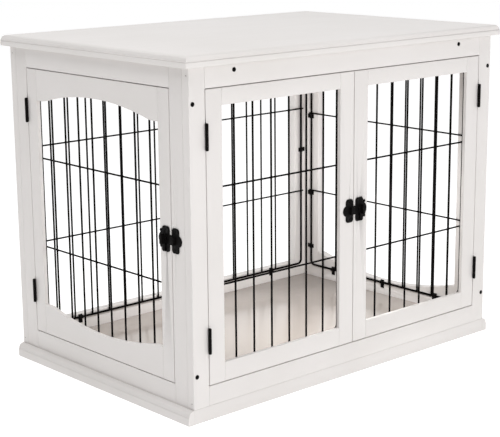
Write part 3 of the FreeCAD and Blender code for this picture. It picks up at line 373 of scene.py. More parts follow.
PAINT = {
    grain: BrushedPaint(f"white_paint_{grain.name.lower()}", (220, 216, 214), (214, 210, 207), roughness=0.42,
                        drift_scale=3.0, grain=grain)
    for grain in Grain
}
PINE = BrushedPaint("bare_pine", (205, 178, 138), (184, 152, 110), roughness=0.6, drift_scale=9.0,
                    grain=Grain.ALONG_Y, strength=0.4)
PANEL = PolishedPanel("floor_gloss", (184, 175, 168), (175, 166, 158), roughness=0.2, drift_scale=2.5)
WIRE = PowderCoat("black_wire_coat", (12, 9, 9), (6, 5, 5), roughness=0.6, drift_scale=30.0, peel=0.3,
                  shine=0.03)
HARDWARE = PowderCoat("black_hardware", (12, 9, 9), (6, 5, 5), roughness=0.48, drift_scale=60.0, peel=0.45,
                      shine=0.06)
ZINC = PowderCoat("zinc_plate", (178, 178, 172), (150, 150, 146), roughness=0.35, drift_scale=60.0,
                  metallic=1.0, peel=0.1)


class Dresser:
    """Shared tools: finishes by name, and finished pieces put on their bodies."""

    def __init__(self) -> None:
        """Build the shared groups."""
        self.kit = ShaderKit()
        self.made: dict[str, bpy.types.Material] = {}

    def material(self, finish: Finish) -> bpy.types.Material:
        """Make a finish's material once and keep it.

        Args:
            finish: The finish.

        Returns:
            Its material.
        """
        if finish.name not in self.made:
            self.made[finish.name] = finish.make(self.kit)
        return self.made[finish.name]

    def place(self, name: str, mesh: bpy.types.Mesh, finish: Finish, body: str, slot: str,
              nodes: tuple[str, ...] = ()) -> bpy.types.Object:
        """Put a finished mesh on a body.

        Args:
            name: The piece's name.
            mesh: Its mesh, in the row frame.
            finish: Its finish.
            body: The body that it rides on.
            slot: The record's material slot; not used.
            nodes: The CAD nodes that it stands for.

        Returns:
            The piece.
        """
        piece = bpy.data.objects.new(name, mesh)
        bpy.context.scene.collection.objects.link(piece)
        mesh.materials.clear()
        mesh.materials.append(self.material(finish))
        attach(piece, body)
        if nodes:
            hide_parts(*nodes)
        LOG.info("%s: %d faces on %s", name, len(mesh.polygons), body)
        return piece

    def dress(self, node: str, finish: Finish) -> None:
        """Give a CAD node that stays a finish.

        Args:
            node: The CAD node.
            finish: Its finish.
        """
        shown = FRAME["nodes"][node].data
        shown.materials.clear()
        shown.materials.append(self.material(finish))
        LOG.info("%s: dressed", node)


def body_of(node: str) -> str:
    """Return the body that a CAD node rides on."""
    return FRAME["nodes"][node]["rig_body"]


def merged(node: str) -> bmesh.types.BMesh:
    """Copy a CAD node's mesh, with its doubles merged and its flat faces joined.

    Args:
        node: The CAD node.

    Returns:
        The copy.
    """
    mesh = bmesh.new()
    mesh.from_mesh(FRAME["nodes"][node].data)
    bmesh.ops.remove_doubles(mesh, verts=mesh.verts, dist=DOUBLES_WITHIN)
    bmesh.ops.dissolve_limit(mesh, angle_limit=FLAT_WITHIN, verts=mesh.verts, edges=mesh.edges)
    return mesh


def eased(node: str, radius: float, shortest: float = 5 * MILLIMETRE, least_area: float = 3e-4,
          sharp: float = 30.0) -> bpy.types.Mesh:
    """Return a node's mesh with its long edges rounded over.

    Args:
        node: The CAD node.
        radius: How far the rounding reaches from each edge, in metres.
        shortest: Edges under this length stay sharp.
        least_area: Edges beside a face smaller than this stay sharp.
        sharp: The angle in degrees past which an edge is rounded.

    Returns:
        The rounded mesh.
    """
    mesh = merged(node)
    chosen = [
        edge for edge in mesh.edges
        if len(edge.link_faces) == 2
        and edge.calc_length() > shortest
        and edge.calc_face_angle(0.0) > math.radians(sharp)
        and min(face.calc_area() for face in edge.link_faces) > least_area
    ]
    bmesh.ops.bevel(mesh, geom=chosen, offset=radius, offset_type="OFFSET", segments=3, profile=0.5,
                    affect="EDGES", clamp_overlap=False)
    result = bpy.data.meshes.new(f"{node}_eased")
    mesh.to_mesh(result)
    mesh.free()
    result.shade_smooth()
    result.set_sharp_from_angle(angle=SMOOTH_BELOW)
    return result


@dataclass
class Woodwork:
    """The painted boards: frames, doors, base and top, each with its edges eased by sanding."""

    dresser: Dresser
    ease: float = 0.9 * MILLIMETRE
    top_ease: float = 1.2 * MILLIMETRE
    skip: tuple[str, ...] = (
        "screw", "nail", "wire", "clip", "hinge_leaves", "hinge_frame", "pins", "latch_plate", "latch_keeper",
        "latch_turn", "floor_panel", "cleats", "battens",
    )

    def boards(self) -> list[str]:
        """Return the names of the painted boards."""
        return sorted(name for name in FRAME["nodes"] if not any(word in name for word in self.skip))

    def grain_of(self, node: str) -> Grain:
        """Find the grain of a board, which runs along its longest side.

        Args:
            node: The board.

        Returns:
            Its grain.
        """
        low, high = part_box(node)
        spans = [high[axis] - low[axis] for axis in range(3)]
        return list(Grain)[spans.index(max(spans))]

    def build(self) -> None:
        """Round over every board and paint it."""
        for node in self.boards():
            radius = self.top_ease if node == "top_board" else self.ease
            mesh = eased(node, radius)
            paint = PAINT[self.grain_of(node)]
            self.dresser.place(f"{node}_painted", mesh, paint, body_of(node), "white_paint", (node,))


@dataclass
class Floor:
    """The smooth floor panel with its cleats, and the battens under the top."""

    dresser: Dresser
    ease: float = 0.6 * MILLIMETRE

    def build(self) -> None:
        """Dress the panel, the cleats and the battens."""
        self.dresser.place("floor_panel_polished", eased("floor_panel", self.ease), PANEL, "cabinet",
                           "floor_laminate", ("floor_panel",))
        for node in ("floor_cleats", "top_battens"):
            planed = eased(node, self.ease)
            self.dresser.place(f"{node}_planed", planed, PINE, "cabinet", "bare_pine", (node,))


# ---- geometry nodes ----


def new_tree(name: str, sizes: dict[str, str]) -> bpy.types.NodeTree:
    """Start a geometry node tree.

    Args:
        name: The tree's name.
        sizes: The kind of socket for each named size.

    Returns:
        The tree with a geometry input and output.
    """
    tree = bpy.data.node_groups.new(name, "GeometryNodeTree")
    tree.interface.new_socket(name="Geometry", in_out="INPUT", socket_type="NodeSocketGeometry")
    for size, kind in sizes.items():
        tree.interface.new_socket(name=size, in_out="INPUT", socket_type=kind)
    tree.interface.new_socket(name="Geometry", in_out="OUTPUT", socket_type="NodeSocketGeometry")
    tree.nodes.new("NodeGroupInput").name = "given"
    tree.nodes.new("NodeGroupOutput").name = "result"
    return tree


def grown(name: str, tree: bpy.types.NodeTree, values: dict[str, object], start: bpy.types.Mesh,
          matrix: Matrix) -> bpy.types.Mesh:
    """Run a geometry node tree and return its result as a plain mesh.

    Args:
        name: The new mesh's name.
        tree: The tree.
        values: The value of each named input.
        start: The mesh that the tree starts from.
        matrix: The placement that is then applied to the mesh.

    Returns:
        The plain mesh in the row frame.
    """
    holder = bpy.data.objects.new(f"{name}_holder", start)
    bpy.context.scene.collection.objects.link(holder)
    modifier = holder.modifiers.new("tree", "NODES")
    modifier.node_group = tree
    for item in tree.interface.items_tree:
        if item.in_out == "INPUT" and item.name in values:
            modifier[item.identifier] = values[item.name]
    graph = bpy.context.evaluated_depsgraph_get()
    mesh = bpy.data.meshes.new_from_object(holder.evaluated_get(graph))
    mesh.name = name
    holder.modifiers.remove(modifier)
    bpy.data.objects.remove(holder)
    mesh.transform(matrix)
    mesh.shade_smooth()
    mesh.set_sharp_from_angle(angle=SMOOTH_BELOW)
    return mesh


@dataclass
class WirePanel:
    """One welded panel: a round rim with bent corners, upright wires and two cross wires."""

    name: str
    node: str
    wall: Wall
    centre: float
    half_width: float
    bottom: float
    top: float
    depth: float
    count: int
    low_cross: float
    high_cross: float
    rim: float = 4.4 * MILLIMETRE
    wire: float = 3.6 * MILLIMETRE
    cross: float = 3.2 * MILLIMETRE
    weld_depth: float = 0.5 * MILLIMETRE
    corner: float = 10 * MILLIMETRE
    overshoot: float = 3 * MILLIMETRE
    edge_gap: float = 38 * MILLIMETRE

    def values(self, material: bpy.types.Material) -> dict[str, object]:
        """Gather the inputs of the panel's tree.

        Args:
            material: The coat of the wires.

        Returns:
            The value of each named input.
        """
        return {
            "Half Width": self.half_width, "Bottom": self.bottom, "Top": self.top, "Count": self.count,
            "Low Cross": self.low_cross, "High Cross": self.high_cross, "Rim Radius": self.rim / 2,
            "Wire Radius": self.wire / 2, "Cross Radius": self.cross / 2, "Corner": self.corner,
            "Overshoot": self.overshoot, "Edge Gap": self.edge_gap,
            "Cross Depth": (self.wire + self.cross) / 2 - self.weld_depth, "Material": material,
        }

    def build(self, dresser: Dresser, tree: bpy.types.NodeTree) -> None:
        """Grow the panel on its wall.

        Args:
            dresser: The shared tools.
            tree: The tree that every panel shares.
        """
        matrix = self.wall.matrix() @ Matrix.Translation((self.centre, self.depth, 0.0))
        start = bpy.data.meshes.new(f"{self.name}_start")
        mesh = grown(self.name, tree, self.values(dresser.material(WIRE)), start, matrix)
        dresser.place(self.name, mesh, WIRE, body_of(self.node), "black_wire", (self.node,))


class PanelTree:
    """Builds the geometry node tree that every wire panel shares."""

    RIM_SIDES = 16
    WIRE_SIDES = 14
    BEND_POINTS = 8
    BEAD_SIZE = 1.15
    BEAD_SHAPE = (1.0, 0.75, 1.0)
    SIZES = {
        "Half Width": "NodeSocketFloat", "Bottom": "NodeSocketFloat", "Top": "NodeSocketFloat",
        "Count": "NodeSocketInt", "Low Cross": "NodeSocketFloat", "High Cross": "NodeSocketFloat",
        "Rim Radius": "NodeSocketFloat", "Wire Radius": "NodeSocketFloat", "Cross Radius": "NodeSocketFloat",
        "Corner": "NodeSocketFloat", "Overshoot": "NodeSocketFloat", "Edge Gap": "NodeSocketFloat",
        "Cross Depth": "NodeSocketFloat", "Material": "NodeSocketMaterial",
    }

    def __init__(self) -> None:
        """Build the tree."""
        self.tree = new_tree("welded_wire_panel", self.SIZES)
        self.given = self.tree.nodes["given"].outputs
        rods = [self._rim(), self._uprights(), self._cross("Low Cross"), self._cross("High Cross"),
                self._welds("Low Cross"), self._welds("High Cross")]
        join = self.tree.nodes.new("GeometryNodeJoinGeometry")
        for rod in rods:
            self.tree.links.new(rod, join.inputs["Geometry"])
        realize = self.tree.nodes.new("GeometryNodeRealizeInstances")
        coat = self.tree.nodes.new("GeometryNodeSetMaterial")
        self.tree.links.new(join.outputs["Geometry"], realize.inputs["Geometry"])
        self.tree.links.new(realize.outputs["Geometry"], coat.inputs["Geometry"])
        self.tree.links.new(self.given["Material"], coat.inputs["Material"])
        self.tree.links.new(coat.outputs["Geometry"], self.tree.nodes["result"].inputs["Geometry"])

    def _math(self, operation: str, first: object, second: object) -> bpy.types.NodeSocket:
        """Add a maths node.

        Args:
            operation: What it does.
            first: Its first value, a socket or a number.
            second: Its second value, a socket or a number.

        Returns:
            Its result.
        """
        node = self.tree.nodes.new("ShaderNodeMath")
        node.operation = operation
        for socket, value in zip(node.inputs, (first, second)):
            if isinstance(value, bpy.types.NodeSocket):
                self.tree.links.new(value, socket)
            else:
                socket.default_value = value
        return node.outputs[0]

    def _vector(self, x: object, y: object, z: object) -> bpy.types.NodeSocket:
        """Combine three sockets or numbers into a vector.

        Args:
            x: The reach to the right.
            y: The reach inward.
            z: The reach upward.

        Returns:
            The vector.
        """
        node = self.tree.nodes.new("ShaderNodeCombineXYZ")
        for socket, value in zip(node.inputs, (x, y, z)):
            if isinstance(value, bpy.types.NodeSocket):
                self.tree.links.new(value, socket)
            else:
                socket.default_value = value
        return node.outputs[0]

    def _tube(self, curve: bpy.types.NodeSocket, radius: str, sides: int) -> bpy.types.NodeSocket:
        """Sweep a round section along a curve.

        Args:
            curve: The curve.
            radius: The name of the size that gives the radius.
            sides: How many sides the section has.

        Returns:
            The rod.
        """
        circle = self.tree.nodes.new("GeometryNodeCurvePrimitiveCircle")
        circle.inputs["Resolution"].default_value = sides
        sweep = self.tree.nodes.new("GeometryNodeCurveToMesh")
        sweep.inputs["Fill Caps"].default_value = True
        self.tree.links.new(self.given[radius], circle.inputs["Radius"])
        self.tree.links.new(curve, sweep.inputs["Curve"])
        self.tree.links.new(circle.outputs["Curve"], sweep.inputs["Profile Curve"])
        return sweep.outputs["Mesh"]

    def _line(self, start: bpy.types.NodeSocket, end: bpy.types.NodeSocket) -> bpy.types.NodeSocket:
        """Add a straight curve.

        Args:
            start: Its first end.
            end: Its other end.

        Returns:
            The curve.
        """
        line = self.tree.nodes.new("GeometryNodeCurvePrimitiveLine")
        self.tree.links.new(start, line.inputs["Start"])
        self.tree.links.new(end, line.inputs["End"])
        return line.outputs["Curve"]

    def _rim(self) -> bpy.types.NodeSocket:
        """Add the rim: a rectangle with bent corners.

        Returns:
            The rim.
        """
        given = self.given
        frame = self.tree.nodes.new("GeometryNodeCurvePrimitiveQuadrilateral")
        self.tree.links.new(self._math("MULTIPLY", given["Half Width"], 2.0), frame.inputs["Width"])
        self.tree.links.new(self._math("SUBTRACT", given["Top"], given["Bottom"]), frame.inputs["Height"])
        bend = self.tree.nodes.new("GeometryNodeFilletCurve")
        bend.mode = "POLY"
        bend.inputs["Count"].default_value = self.BEND_POINTS
        self.tree.links.new(frame.outputs["Curve"], bend.inputs["Curve"])
        self.tree.links.new(given["Corner"], bend.inputs["Radius"])
        stand = self.tree.nodes.new("GeometryNodeTransform")
        stand.inputs["Rotation"].default_value = (math.radians(90), 0.0, 0.0)
        middle = self._math("MULTIPLY", self._math("ADD", given["Top"], given["Bottom"]), 0.5)
        self.tree.links.new(bend.outputs["Curve"], stand.inputs["Geometry"])
        self.tree.links.new(self._vector(0.0, 0.0, middle), stand.inputs["Translation"])
        return self._tube(stand.outputs["Geometry"], "Rim Radius", self.RIM_SIDES)

    def _stations(self, height: bpy.types.NodeSocket, depth: object) -> bpy.types.NodeSocket:
        """Add one point for each upright wire.

        Args:
            height: How high the points lie.
            depth: How far in they lie.

        Returns:
            The points.
        """
        given = self.given
        points = self.tree.nodes.new("GeometryNodeMeshLine")
        points.mode = "END_POINTS"
        reach = self._math("SUBTRACT", given["Half Width"], given["Edge Gap"])
        self.tree.links.new(given["Count"], points.inputs["Count"])
        self.tree.links.new(self._vector(self._math("MULTIPLY", reach, -1.0), depth, height),
                            points.inputs["Start Location"])
        self.tree.links.new(self._vector(reach, depth, height), points.inputs["Offset"])
        return points.outputs["Mesh"]

    def _uprights(self) -> bpy.types.NodeSocket:
        """Add the upright wires between the two level runs of the rim.

        Returns:
            The wires.
        """
        given = self.given
        height = self._math("SUBTRACT", given["Top"], given["Bottom"])
        upright = self._line(self._vector(0.0, 0.0, 0.0), self._vector(0.0, 0.0, height))
        rod = self._tube(upright, "Wire Radius", self.WIRE_SIDES)
        spread = self.tree.nodes.new("GeometryNodeInstanceOnPoints")
        self.tree.links.new(self._stations(given["Bottom"], 0.0), spread.inputs["Points"])
        self.tree.links.new(rod, spread.inputs["Instance"])
        return spread.outputs["Instances"]

    def _cross(self, level: str) -> bpy.types.NodeSocket:
        """Add a cross wire behind the uprights.

        Args:
            level: The name of the size that gives its height.

        Returns:
            The wire.
        """
        given = self.given
        reach = self._math("ADD", given["Half Width"], given["Overshoot"])
        start = self._vector(self._math("MULTIPLY", reach, -1.0), given["Cross Depth"], given[level])
        end = self._vector(reach, given["Cross Depth"], given[level])
        return self._tube(self._line(start, end), "Cross Radius", self.WIRE_SIDES)

    def _welds(self, level: str) -> bpy.types.NodeSocket:
        """Add the small bead of each weld between an upright and a cross wire.

        Args:
            level: The name of the size that gives the cross wire's height.

        Returns:
            The beads.
        """
        given = self.given
        bead = self.tree.nodes.new("GeometryNodeMeshIcoSphere")
        bead.inputs["Subdivisions"].default_value = 2
        radius = self._math("MULTIPLY", given["Wire Radius"], self.BEAD_SIZE)
        self.tree.links.new(radius, bead.inputs["Radius"])
        depth = self._math("MULTIPLY", given["Cross Depth"], 0.5)
        spread = self.tree.nodes.new("GeometryNodeInstanceOnPoints")
        spread.inputs["Scale"].default_value = self.BEAD_SHAPE
        self.tree.links.new(self._stations(given[level], depth), spread.inputs["Points"])
        self.tree.links.new(bead.outputs["Mesh"], spread.inputs["Instance"])
        return spread.outputs["Instances"]


PANELS = (
    WirePanel("front_left_door_wires", "front_left_door_wire_panel", Wall.FRONT, centre=-0.175625,
              half_width=0.143875, bottom=0.0925, top=0.5445, depth=0.0094, count=6, low_cross=0.2305,
              high_cross=0.401),
    WirePanel("front_right_door_wires", "front_right_door_wire_panel", Wall.FRONT, centre=0.175625,
              half_width=0.143875, bottom=0.0925, top=0.5445, depth=0.0094, count=6, low_cross=0.2305,
              high_cross=0.401),
    WirePanel("end_door_wires", "end_door_wire_panel", Wall.LEFT, centre=0.0, half_width=0.1835,
              bottom=0.0955, top=0.5365, depth=0.0094, count=8, low_cross=0.2305, high_cross=0.401),
    WirePanel("back_wires", "back_wire_panel", Wall.BACK, centre=0.0, half_width=0.3556, bottom=0.055,
              top=0.577, depth=0.0199, count=16, low_cross=0.226, high_cross=0.414),
    WirePanel("right_end_wires", "right_end_wire_panel", Wall.RIGHT, centre=0.0, half_width=0.2194,
              bottom=0.055, top=0.579, depth=0.0199, count=10, low_cross=0.2295, high_cross=0.405),
)


@dataclass
class ScrewHead:
    """One kind of screw: a domed or flat head with a cross recess, on a plain shank."""

    CROWN_STEPS = 8
    SPIN_STEPS = 20
    FLAT_SHARE = 0.97
    FLAT_DROP = 0.05 * MILLIMETRE
    POINT_RADIUS = 0.1 * MILLIMETRE
    CROSS_SPAN = 0.56
    CROSS_WIDTH = 0.15
    CROSS_DEPTH = 0.26
    CROSS_TAPER = 0.45

    name: str
    head: float
    rise: float
    sunk: float
    shank: float
    length: float
    dome: float = 0.6

    def profile(self) -> list[tuple[float, float]]:
        """Trace the outline from the crown to the tip, with the driver's side at +z.

        Returns:
            The points of the outline, as (radius, height).
        """
        radius, shaft = self.head / 2, self.shank / 2
        if self.sunk:
            head = [(0.0, 0.0), (radius * self.FLAT_SHARE, 0.0), (radius, -self.FLAT_DROP)]
        else:
            slopes = [step * math.pi / (2 * self.CROWN_STEPS) for step in range(self.CROWN_STEPS + 1)]
            rim = self.rise * (1 - self.dome)
            head = [(radius * math.sin(slope), rim + self.rise * self.dome * math.cos(slope))
                    for slope in slopes]
            head.append((radius, 0.0))
        return head + [(shaft, -self.sunk), (shaft, self.shank - self.length),
                       (self.POINT_RADIUS, -self.length), (0.0, -self.length)]

    def mesh(self) -> bpy.types.Mesh:
        """Spin the outline into a screw and cut its cross recess in.

        Returns:
            The screw's mesh.
        """
        body = bmesh.new()
        verts = [body.verts.new((radius, 0.0, height)) for radius, height in self.profile()]
        edges = [body.edges.new(pair) for pair in zip(verts, verts[1:])]
        bmesh.ops.spin(body, geom=verts + edges, cent=(0, 0, 0), axis=(0, 0, 1), angle=2 * math.pi,
                       steps=self.SPIN_STEPS, use_merge=True)
        bmesh.ops.remove_doubles(body, verts=body.verts, dist=1e-7)
        bmesh.ops.recalc_face_normals(body, faces=body.faces)
        plain = bpy.data.meshes.new(f"{self.name}_plain")
        body.to_mesh(plain)
        body.free()
        return self._recessed(plain)

    def _recessed(self, plain: bpy.types.Mesh) -> bpy.types.Mesh:
        """Cut a tapered cross into the crown of a screw.

        Args:
            plain: The screw without a recess.

        Returns:
            The screw with its recess.
        """
        cutter = bmesh.new()
        span = self.head * self.CROSS_SPAN
        slot = self.head * self.CROSS_WIDTH
        depth = self.head * self.CROSS_DEPTH
        for long_way in (Vector((span, slot, 1.0)), Vector((slot, span, 1.0))):
            cube = bmesh.ops.create_cube(cutter, size=1.0)["verts"]
            for vert in cube:
                narrow = self.CROSS_TAPER if vert.co.z < 0 else 1.0
                vert.co = Vector((vert.co.x * long_way.x * narrow, vert.co.y * long_way.y * narrow,
                                  self.rise + MILLIMETRE if vert.co.z > 0 else self.rise - depth))
        tool_mesh = bpy.data.meshes.new(f"{self.name}_cross")
        cutter.to_mesh(tool_mesh)
        cutter.free()
        tool = bpy.data.objects.new(f"{self.name}_cross", tool_mesh)
        work = bpy.data.objects.new(f"{self.name}_work", plain)
        for item in (tool, work):
            bpy.context.scene.collection.objects.link(item)
        cut = work.modifiers.new("cross", "BOOLEAN")
        cut.operation = "DIFFERENCE"
        cut.solver = "EXACT"
        cut.use_self = True
        cut.object = tool
        graph = bpy.context.evaluated_depsgraph_get()
        result = bpy.data.meshes.new_from_object(work.evaluated_get(graph))
        for item in (tool, work):
            bpy.data.objects.remove(item)
        return result


SCREWS = {
    "pan": ScrewHead("pan_screw", head=5.6 * MILLIMETRE, rise=1.6 * MILLIMETRE, sunk=0.0,
                     shank=2.8 * MILLIMETRE, length=10 * MILLIMETRE),
    "flat": ScrewHead("flat_screw", head=4.9 * MILLIMETRE, rise=0.0, sunk=1.2 * MILLIMETRE,
                      shank=2.6 * MILLIMETRE, length=11 * MILLIMETRE),
    "face": ScrewHead("face_screw", head=8 * MILLIMETRE, rise=1.0 * MILLIMETRE, sunk=0.0,
                      shank=4 * MILLIMETRE, length=42 * MILLIMETRE),
    "long": ScrewHead("long_screw", head=6.9 * MILLIMETRE, rise=0.0, sunk=2.4 * MILLIMETRE,
                      shank=4 * MILLIMETRE, length=36 * MILLIMETRE),
}


@dataclass
class Fasteners:
    """All screws: read from the CAD nodes' separate solids and set again with real heads."""

    END_REACH = 0.3 * MILLIMETRE
    TURN_SPAN = 1.7
    TURN_RATE = 40

    dresser: Dresser
    groups: tuple[tuple[str, Finish, str], ...] = (
        ("cabinet_small_screws", HARDWARE, "black_metal"),
        ("front_left_door_screws", HARDWARE, "black_metal"),
        ("front_right_door_screws", HARDWARE, "black_metal"),
        ("end_door_screws", HARDWARE, "black_metal"),
        ("frame_face_screws", HARDWARE, "black_metal"),
        ("long_screws", ZINC, "zinc_screw"),
    )
    meshes: dict[str, bpy.types.Object] = field(default_factory=dict)

    def tree(self) -> bpy.types.NodeTree:
        """Build the tree that sets a screw on every point, turned by the point's own attribute.

        Returns:
            The tree.
        """
        tree = new_tree("driven_screws", {"Screw": "NodeSocketObject", "Material": "NodeSocketMaterial"})
        given, result = tree.nodes["given"], tree.nodes["result"]
        source = tree.nodes.new("GeometryNodeObjectInfo")
        turn = tree.nodes.new("GeometryNodeInputNamedAttribute")
        turn.data_type = "FLOAT_VECTOR"
        turn.inputs["Name"].default_value = "turn"
        spread = tree.nodes.new("GeometryNodeInstanceOnPoints")
        realize = tree.nodes.new("GeometryNodeRealizeInstances")
        coat = tree.nodes.new("GeometryNodeSetMaterial")
        to_turn = tree.nodes.new("FunctionNodeEulerToRotation")
        tree.links.new(given.outputs["Screw"], source.inputs["Object"])
        tree.links.new(given.outputs["Geometry"], spread.inputs["Points"])
        tree.links.new(source.outputs["Geometry"], spread.inputs["Instance"])
        tree.links.new(turn.outputs["Attribute"], to_turn.inputs["Euler"])
        tree.links.new(to_turn.outputs["Rotation"], spread.inputs["Rotation"])
        tree.links.new(spread.outputs["Instances"], realize.inputs["Geometry"])
        tree.links.new(realize.outputs["Geometry"], coat.inputs["Geometry"])
        tree.links.new(given.outputs["Material"], coat.inputs["Material"])
        tree.links.new(coat.outputs["Geometry"], result.inputs["Geometry"])
        return tree

    @staticmethod
    def solids(node: str) -> list[list[Vector]]:
        """Tell the separate solids of a node apart.

        Args:
            node: The CAD node.

        Returns:
            The corner points of each solid.
        """
        mesh = bmesh.new()
        mesh.from_mesh(FRAME["nodes"][node].data)
        bmesh.ops.remove_doubles(mesh, verts=mesh.verts, dist=DOUBLES_WITHIN)
        seen: set[int] = set()
        found = []
        mesh.verts.ensure_lookup_table()
        for vert in mesh.verts:
            if vert.index in seen:
                continue
            stack, island = [vert], []
            seen.add(vert.index)
            while stack:
                current = stack.pop()
                island.append(current.co.copy())
                for edge in current.link_edges:
                    other = edge.other_vert(current)
                    if other.index not in seen:
                        seen.add(other.index)
                        stack.append(other)
            found.append(island)
        mesh.free()
        return found

    @staticmethod
    def reading(points: list[Vector]) -> tuple[str, Vector, Vector]:
        """Read a screw's kind, its bearing point and its outward direction from its corner points.

        Args:
            points: The corner points of one solid.

        Returns:
            The kind, the point where head and shank meet the work, and the direction out of the work.
        """
        low = Vector([min(point[axis] for point in points) for axis in range(3)])
        high = Vector([max(point[axis] for point in points) for axis in range(3)])
        spans = high - low
        axis = max(range(3), key=lambda index: spans[index])
        centre = (low + high) / 2

        def reach(end: float) -> float:
            """Measure the widest radius near one end.

            Args:
                end: The end, along the screw's axis.

            Returns:
                The radius.
            """
            widest = 0.0
            for point in points:
                if abs(point[axis] - end) < Fasteners.END_REACH:
                    across = point - centre
                    across[axis] = 0.0
                    widest = max(widest, across.length)
            return widest

        out = Vector((0, 0, 0))
        out[axis] = 1.0 if reach(high[axis]) > reach(low[axis]) else -1.0
        length = spans[axis]
        kind = min(SCREWS, key=lambda name: abs(SCREWS[name].length + SCREWS[name].rise - length))
        seat = centre.copy()
        seat[axis] = (high[axis] if out[axis] > 0 else low[axis]) - out[axis] * SCREWS[kind].rise
        return kind, seat, out

    @staticmethod
    def facing(seat: Vector, out: Vector) -> Euler:
        """Turn a screw to face out of the work, with its cross at an angle of its own.

        Args:
            seat: Its bearing point.
            out: The direction out of the work.

        Returns:
            The turn.
        """
        angle = Fasteners.TURN_SPAN * math.sin(Fasteners.TURN_RATE * (seat.x + 2 * seat.y + 3 * seat.z))
        spin = Matrix.Rotation(angle, 3, "Z")
        return (out.to_track_quat("Z", "Y").to_matrix() @ spin).to_euler()

    def build(self) -> None:
        """Set every group of screws."""
        tree = self.tree()
        for kind, screw in SCREWS.items():
            self.meshes[kind] = bpy.data.objects.new(f"{kind}_pattern", screw.mesh())
            bpy.context.scene.collection.objects.link(self.meshes[kind])
        for node, finish, slot in self.groups:
            readings = [self.reading(points) for points in self.solids(node)]
            whole = bmesh.new()
            for kind in sorted({reading[0] for reading in readings}):
                chosen = [reading for reading in readings if reading[0] == kind]
                start = bpy.data.meshes.new(f"{node}_{kind}_points")
                start.from_pydata([tuple(seat) for _, seat, _ in chosen], [], [])
                turns = start.attributes.new("turn", "FLOAT_VECTOR", "POINT")
                for index, (_, seat, out) in enumerate(chosen):
                    turns.data[index].vector = self.facing(seat, out)
                values = {"Screw": self.meshes[kind], "Material": self.dresser.material(finish)}
                whole.from_mesh(grown(f"{node}_{kind}", tree, values, start, Matrix.Identity(4)))
            mesh = bpy.data.meshes.new(f"{node}_set")
            whole.to_mesh(mesh)
            whole.free()
            mesh.shade_smooth()
            mesh.set_sharp_from_angle(angle=SMOOTH_BELOW)
            self.dresser.place(f"{node}_driven", mesh, finish, body_of(node), slot, (node,))
        for pattern in self.meshes.values():
            bpy.data.objects.remove(pattern)


@dataclass
class Hardware:
    """Hinges, clips and latches: the CAD shapes coated, and the latches also with their edges broken."""

    dresser: Dresser
    soft_edge: float = 0.5 * MILLIMETRE
    shortest: float = 0.2 * MILLIMETRE
    least_area: float = 1e-7

    def build(self) -> None:
        """Coat every metal piece that isn't a screw."""
        for node in sorted(FRAME["nodes"]):
            if any(word in node for word in ("latch_plate", "latch_keeper", "latch_turn")):
                mesh = eased(node, self.soft_edge, self.shortest, self.least_area)
                self.dresser.place(f"{node}_coated", mesh, HARDWARE, body_of(node), "black_metal", (node,))
            elif any(word in node for word in ("clip", "nail", "hinge_leaves", "hinge_frame", "pins")):
                self.dresser.dress(node, HARDWARE)


@dataclass(frozen=True)
class Softbox:
    """A square soft light: where it is, how long its side is, its power in watts and the point it faces."""

    name: str
    place: tuple[float, float, float]
    size: float
    power: float
    aim: tuple[float, float, float] = (0.0, 0.0, 0.3)

    def build(self) -> None:
        """Add the light, unseen by the camera."""
        data = bpy.data.lights.new(self.name, "AREA")
        data.size, data.energy = self.size, self.power
        lamp = bpy.data.objects.new(self.name, data)
        lamp.location = self.place
        lamp.rotation_mode = "QUATERNION"
        lamp.rotation_quaternion = (Vector(self.aim) - Vector(self.place)).to_track_quat("-Z", "Y")
        lamp.visible_camera = False
        bpy.context.scene.collection.objects.link(lamp)


SOFTBOXES = (
    Softbox("key_softbox", (-0.5, -3.1, 1.0), 1.8, 27.0),
    Softbox("top_softbox", (-1.3, -0.3, 3.2), 2.4, 40.0),
    Softbox("cabin_fill", (0.02, -0.21, 0.38), 0.16, 2.2, (0.14, 0.26, 0.06)),
)


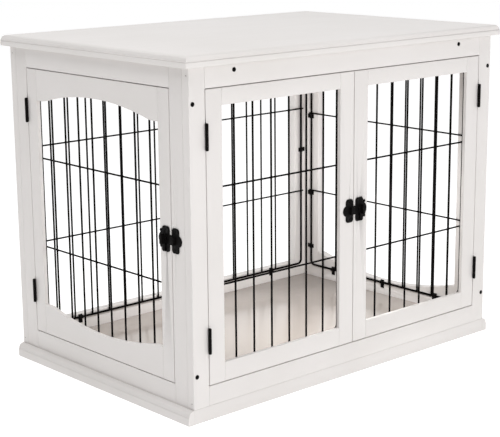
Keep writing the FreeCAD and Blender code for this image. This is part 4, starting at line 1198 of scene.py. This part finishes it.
@dataclass
class Studio:
    """The pale floor, the soft air, the softboxes and the camera."""

    sensor: float = 36.0
    image_width: int = 500
    focal_pixels: float = 1378.5
    place: tuple[float, float, float] = (-1.78968, -1.96624, 0.86283)
    yaw: float = 41.996
    pitch: float = 12.853
    roll: float = -0.496
    floor_reach: float = 14.0
    floor_white: float = 0.86
    floor_roughness: float = 0.9
    floor_glow: float = 0.41
    air_dimmest: float = 0.1
    air_brightest: float = 1.05
    bright_side: tuple[float, float, float] = (0.75, 0.45, 0.3)
    backdrop: float = 1.0

    def floor(self) -> None:
        """Lay the pale floor."""
        mesh = bpy.data.meshes.new("studio_floor")
        reach, white = self.floor_reach, self.floor_white
        mesh.from_pydata([(-reach, -reach, 0), (reach, -reach, 0), (reach, reach, 0), (-reach, reach, 0)], [],
                         [(0, 1, 2, 3)])
        floor = bpy.data.objects.new("studio_floor", mesh)
        bpy.context.scene.collection.objects.link(floor)
        material = bpy.data.materials.new("studio_white")
        material.use_nodes = True
        shader = material.node_tree.nodes["Principled BSDF"]
        shader.inputs["Base Color"].default_value = (white, white, white, 1.0)
        shader.inputs["Roughness"].default_value = self.floor_roughness
        shader.inputs["Specular IOR Level"].default_value = 0.0
        shader.inputs["Emission Color"].default_value = (1.0, 1.0, 1.0, 1.0)
        shader.inputs["Emission Strength"].default_value = self.floor_glow
        mesh.materials.append(material)

    def air(self) -> None:
        """Fill the scene with white light, brighter on one side, before a plain backdrop."""
        world = bpy.data.worlds.new("studio_air")
        world.use_nodes = True
        tree = world.node_tree
        back = tree.nodes["Background"]
        back.inputs["Color"].default_value = (1.0, 1.0, 1.0, 1.0)
        way = tree.nodes.new("ShaderNodeTexCoord")
        turn = tree.nodes.new("ShaderNodeVectorMath")
        turn.operation = "DOT_PRODUCT"
        turn.inputs[1].default_value = Vector(self.bright_side).normalized()
        level = tree.nodes.new("ShaderNodeMapRange")
        level.inputs["From Min"].default_value = -1.0
        level.inputs["To Min"].default_value = self.air_dimmest
        level.inputs["To Max"].default_value = self.air_brightest
        ray = tree.nodes.new("ShaderNodeLightPath")
        seen = tree.nodes.new("ShaderNodeMix")
        seen.inputs["B"].default_value = self.backdrop
        tree.links.new(way.outputs["Generated"], turn.inputs[0])
        tree.links.new(turn.outputs["Value"], level.inputs["Value"])
        tree.links.new(ray.outputs["Is Camera Ray"], seen.inputs["Factor"])
        tree.links.new(level.outputs["Result"], seen.inputs["A"])
        tree.links.new(seen.outputs["Result"], back.inputs["Strength"])
        bpy.context.scene.world = world

    def camera(self) -> None:
        """Stand the camera where the photograph was taken from."""
        data = bpy.data.cameras.new("photo_camera")
        data.sensor_width = self.sensor
        data.lens = self.focal_pixels * self.sensor / self.image_width
        camera = bpy.data.objects.new("photo_camera", data)
        camera.location = self.place
        yaw, pitch = math.radians(self.yaw), math.radians(self.pitch)
        forward = Vector((math.sin(yaw) * math.cos(pitch), math.cos(yaw) * math.cos(pitch), -math.sin(pitch)))
        level = forward.to_track_quat("-Z", "Y").to_matrix()
        camera.rotation_euler = (level @ Matrix.Rotation(math.radians(self.roll), 3, "Z")).to_euler()
        bpy.context.scene.collection.objects.link(camera)
        bpy.context.scene.camera = camera

    def build(self) -> None:
        """Set up the whole studio."""
        self.floor()
        self.air()
        for softbox in SOFTBOXES:
            softbox.build()
        self.camera()
        settings = bpy.context.scene.view_settings
        settings.view_transform = "Standard"


def main() -> None:
    """Build the whole table in order."""
    logging.basicConfig(level=logging.INFO, format="%(message)s")
    dresser = Dresser()
    Woodwork(dresser).build()
    Floor(dresser).build()
    tree = PanelTree().tree
    for panel in PANELS:
        panel.build(dresser, tree)
    Fasteners(dresser).build()
    Hardware(dresser).build()
    Studio().build()


if __name__ == "__main__":
    main()
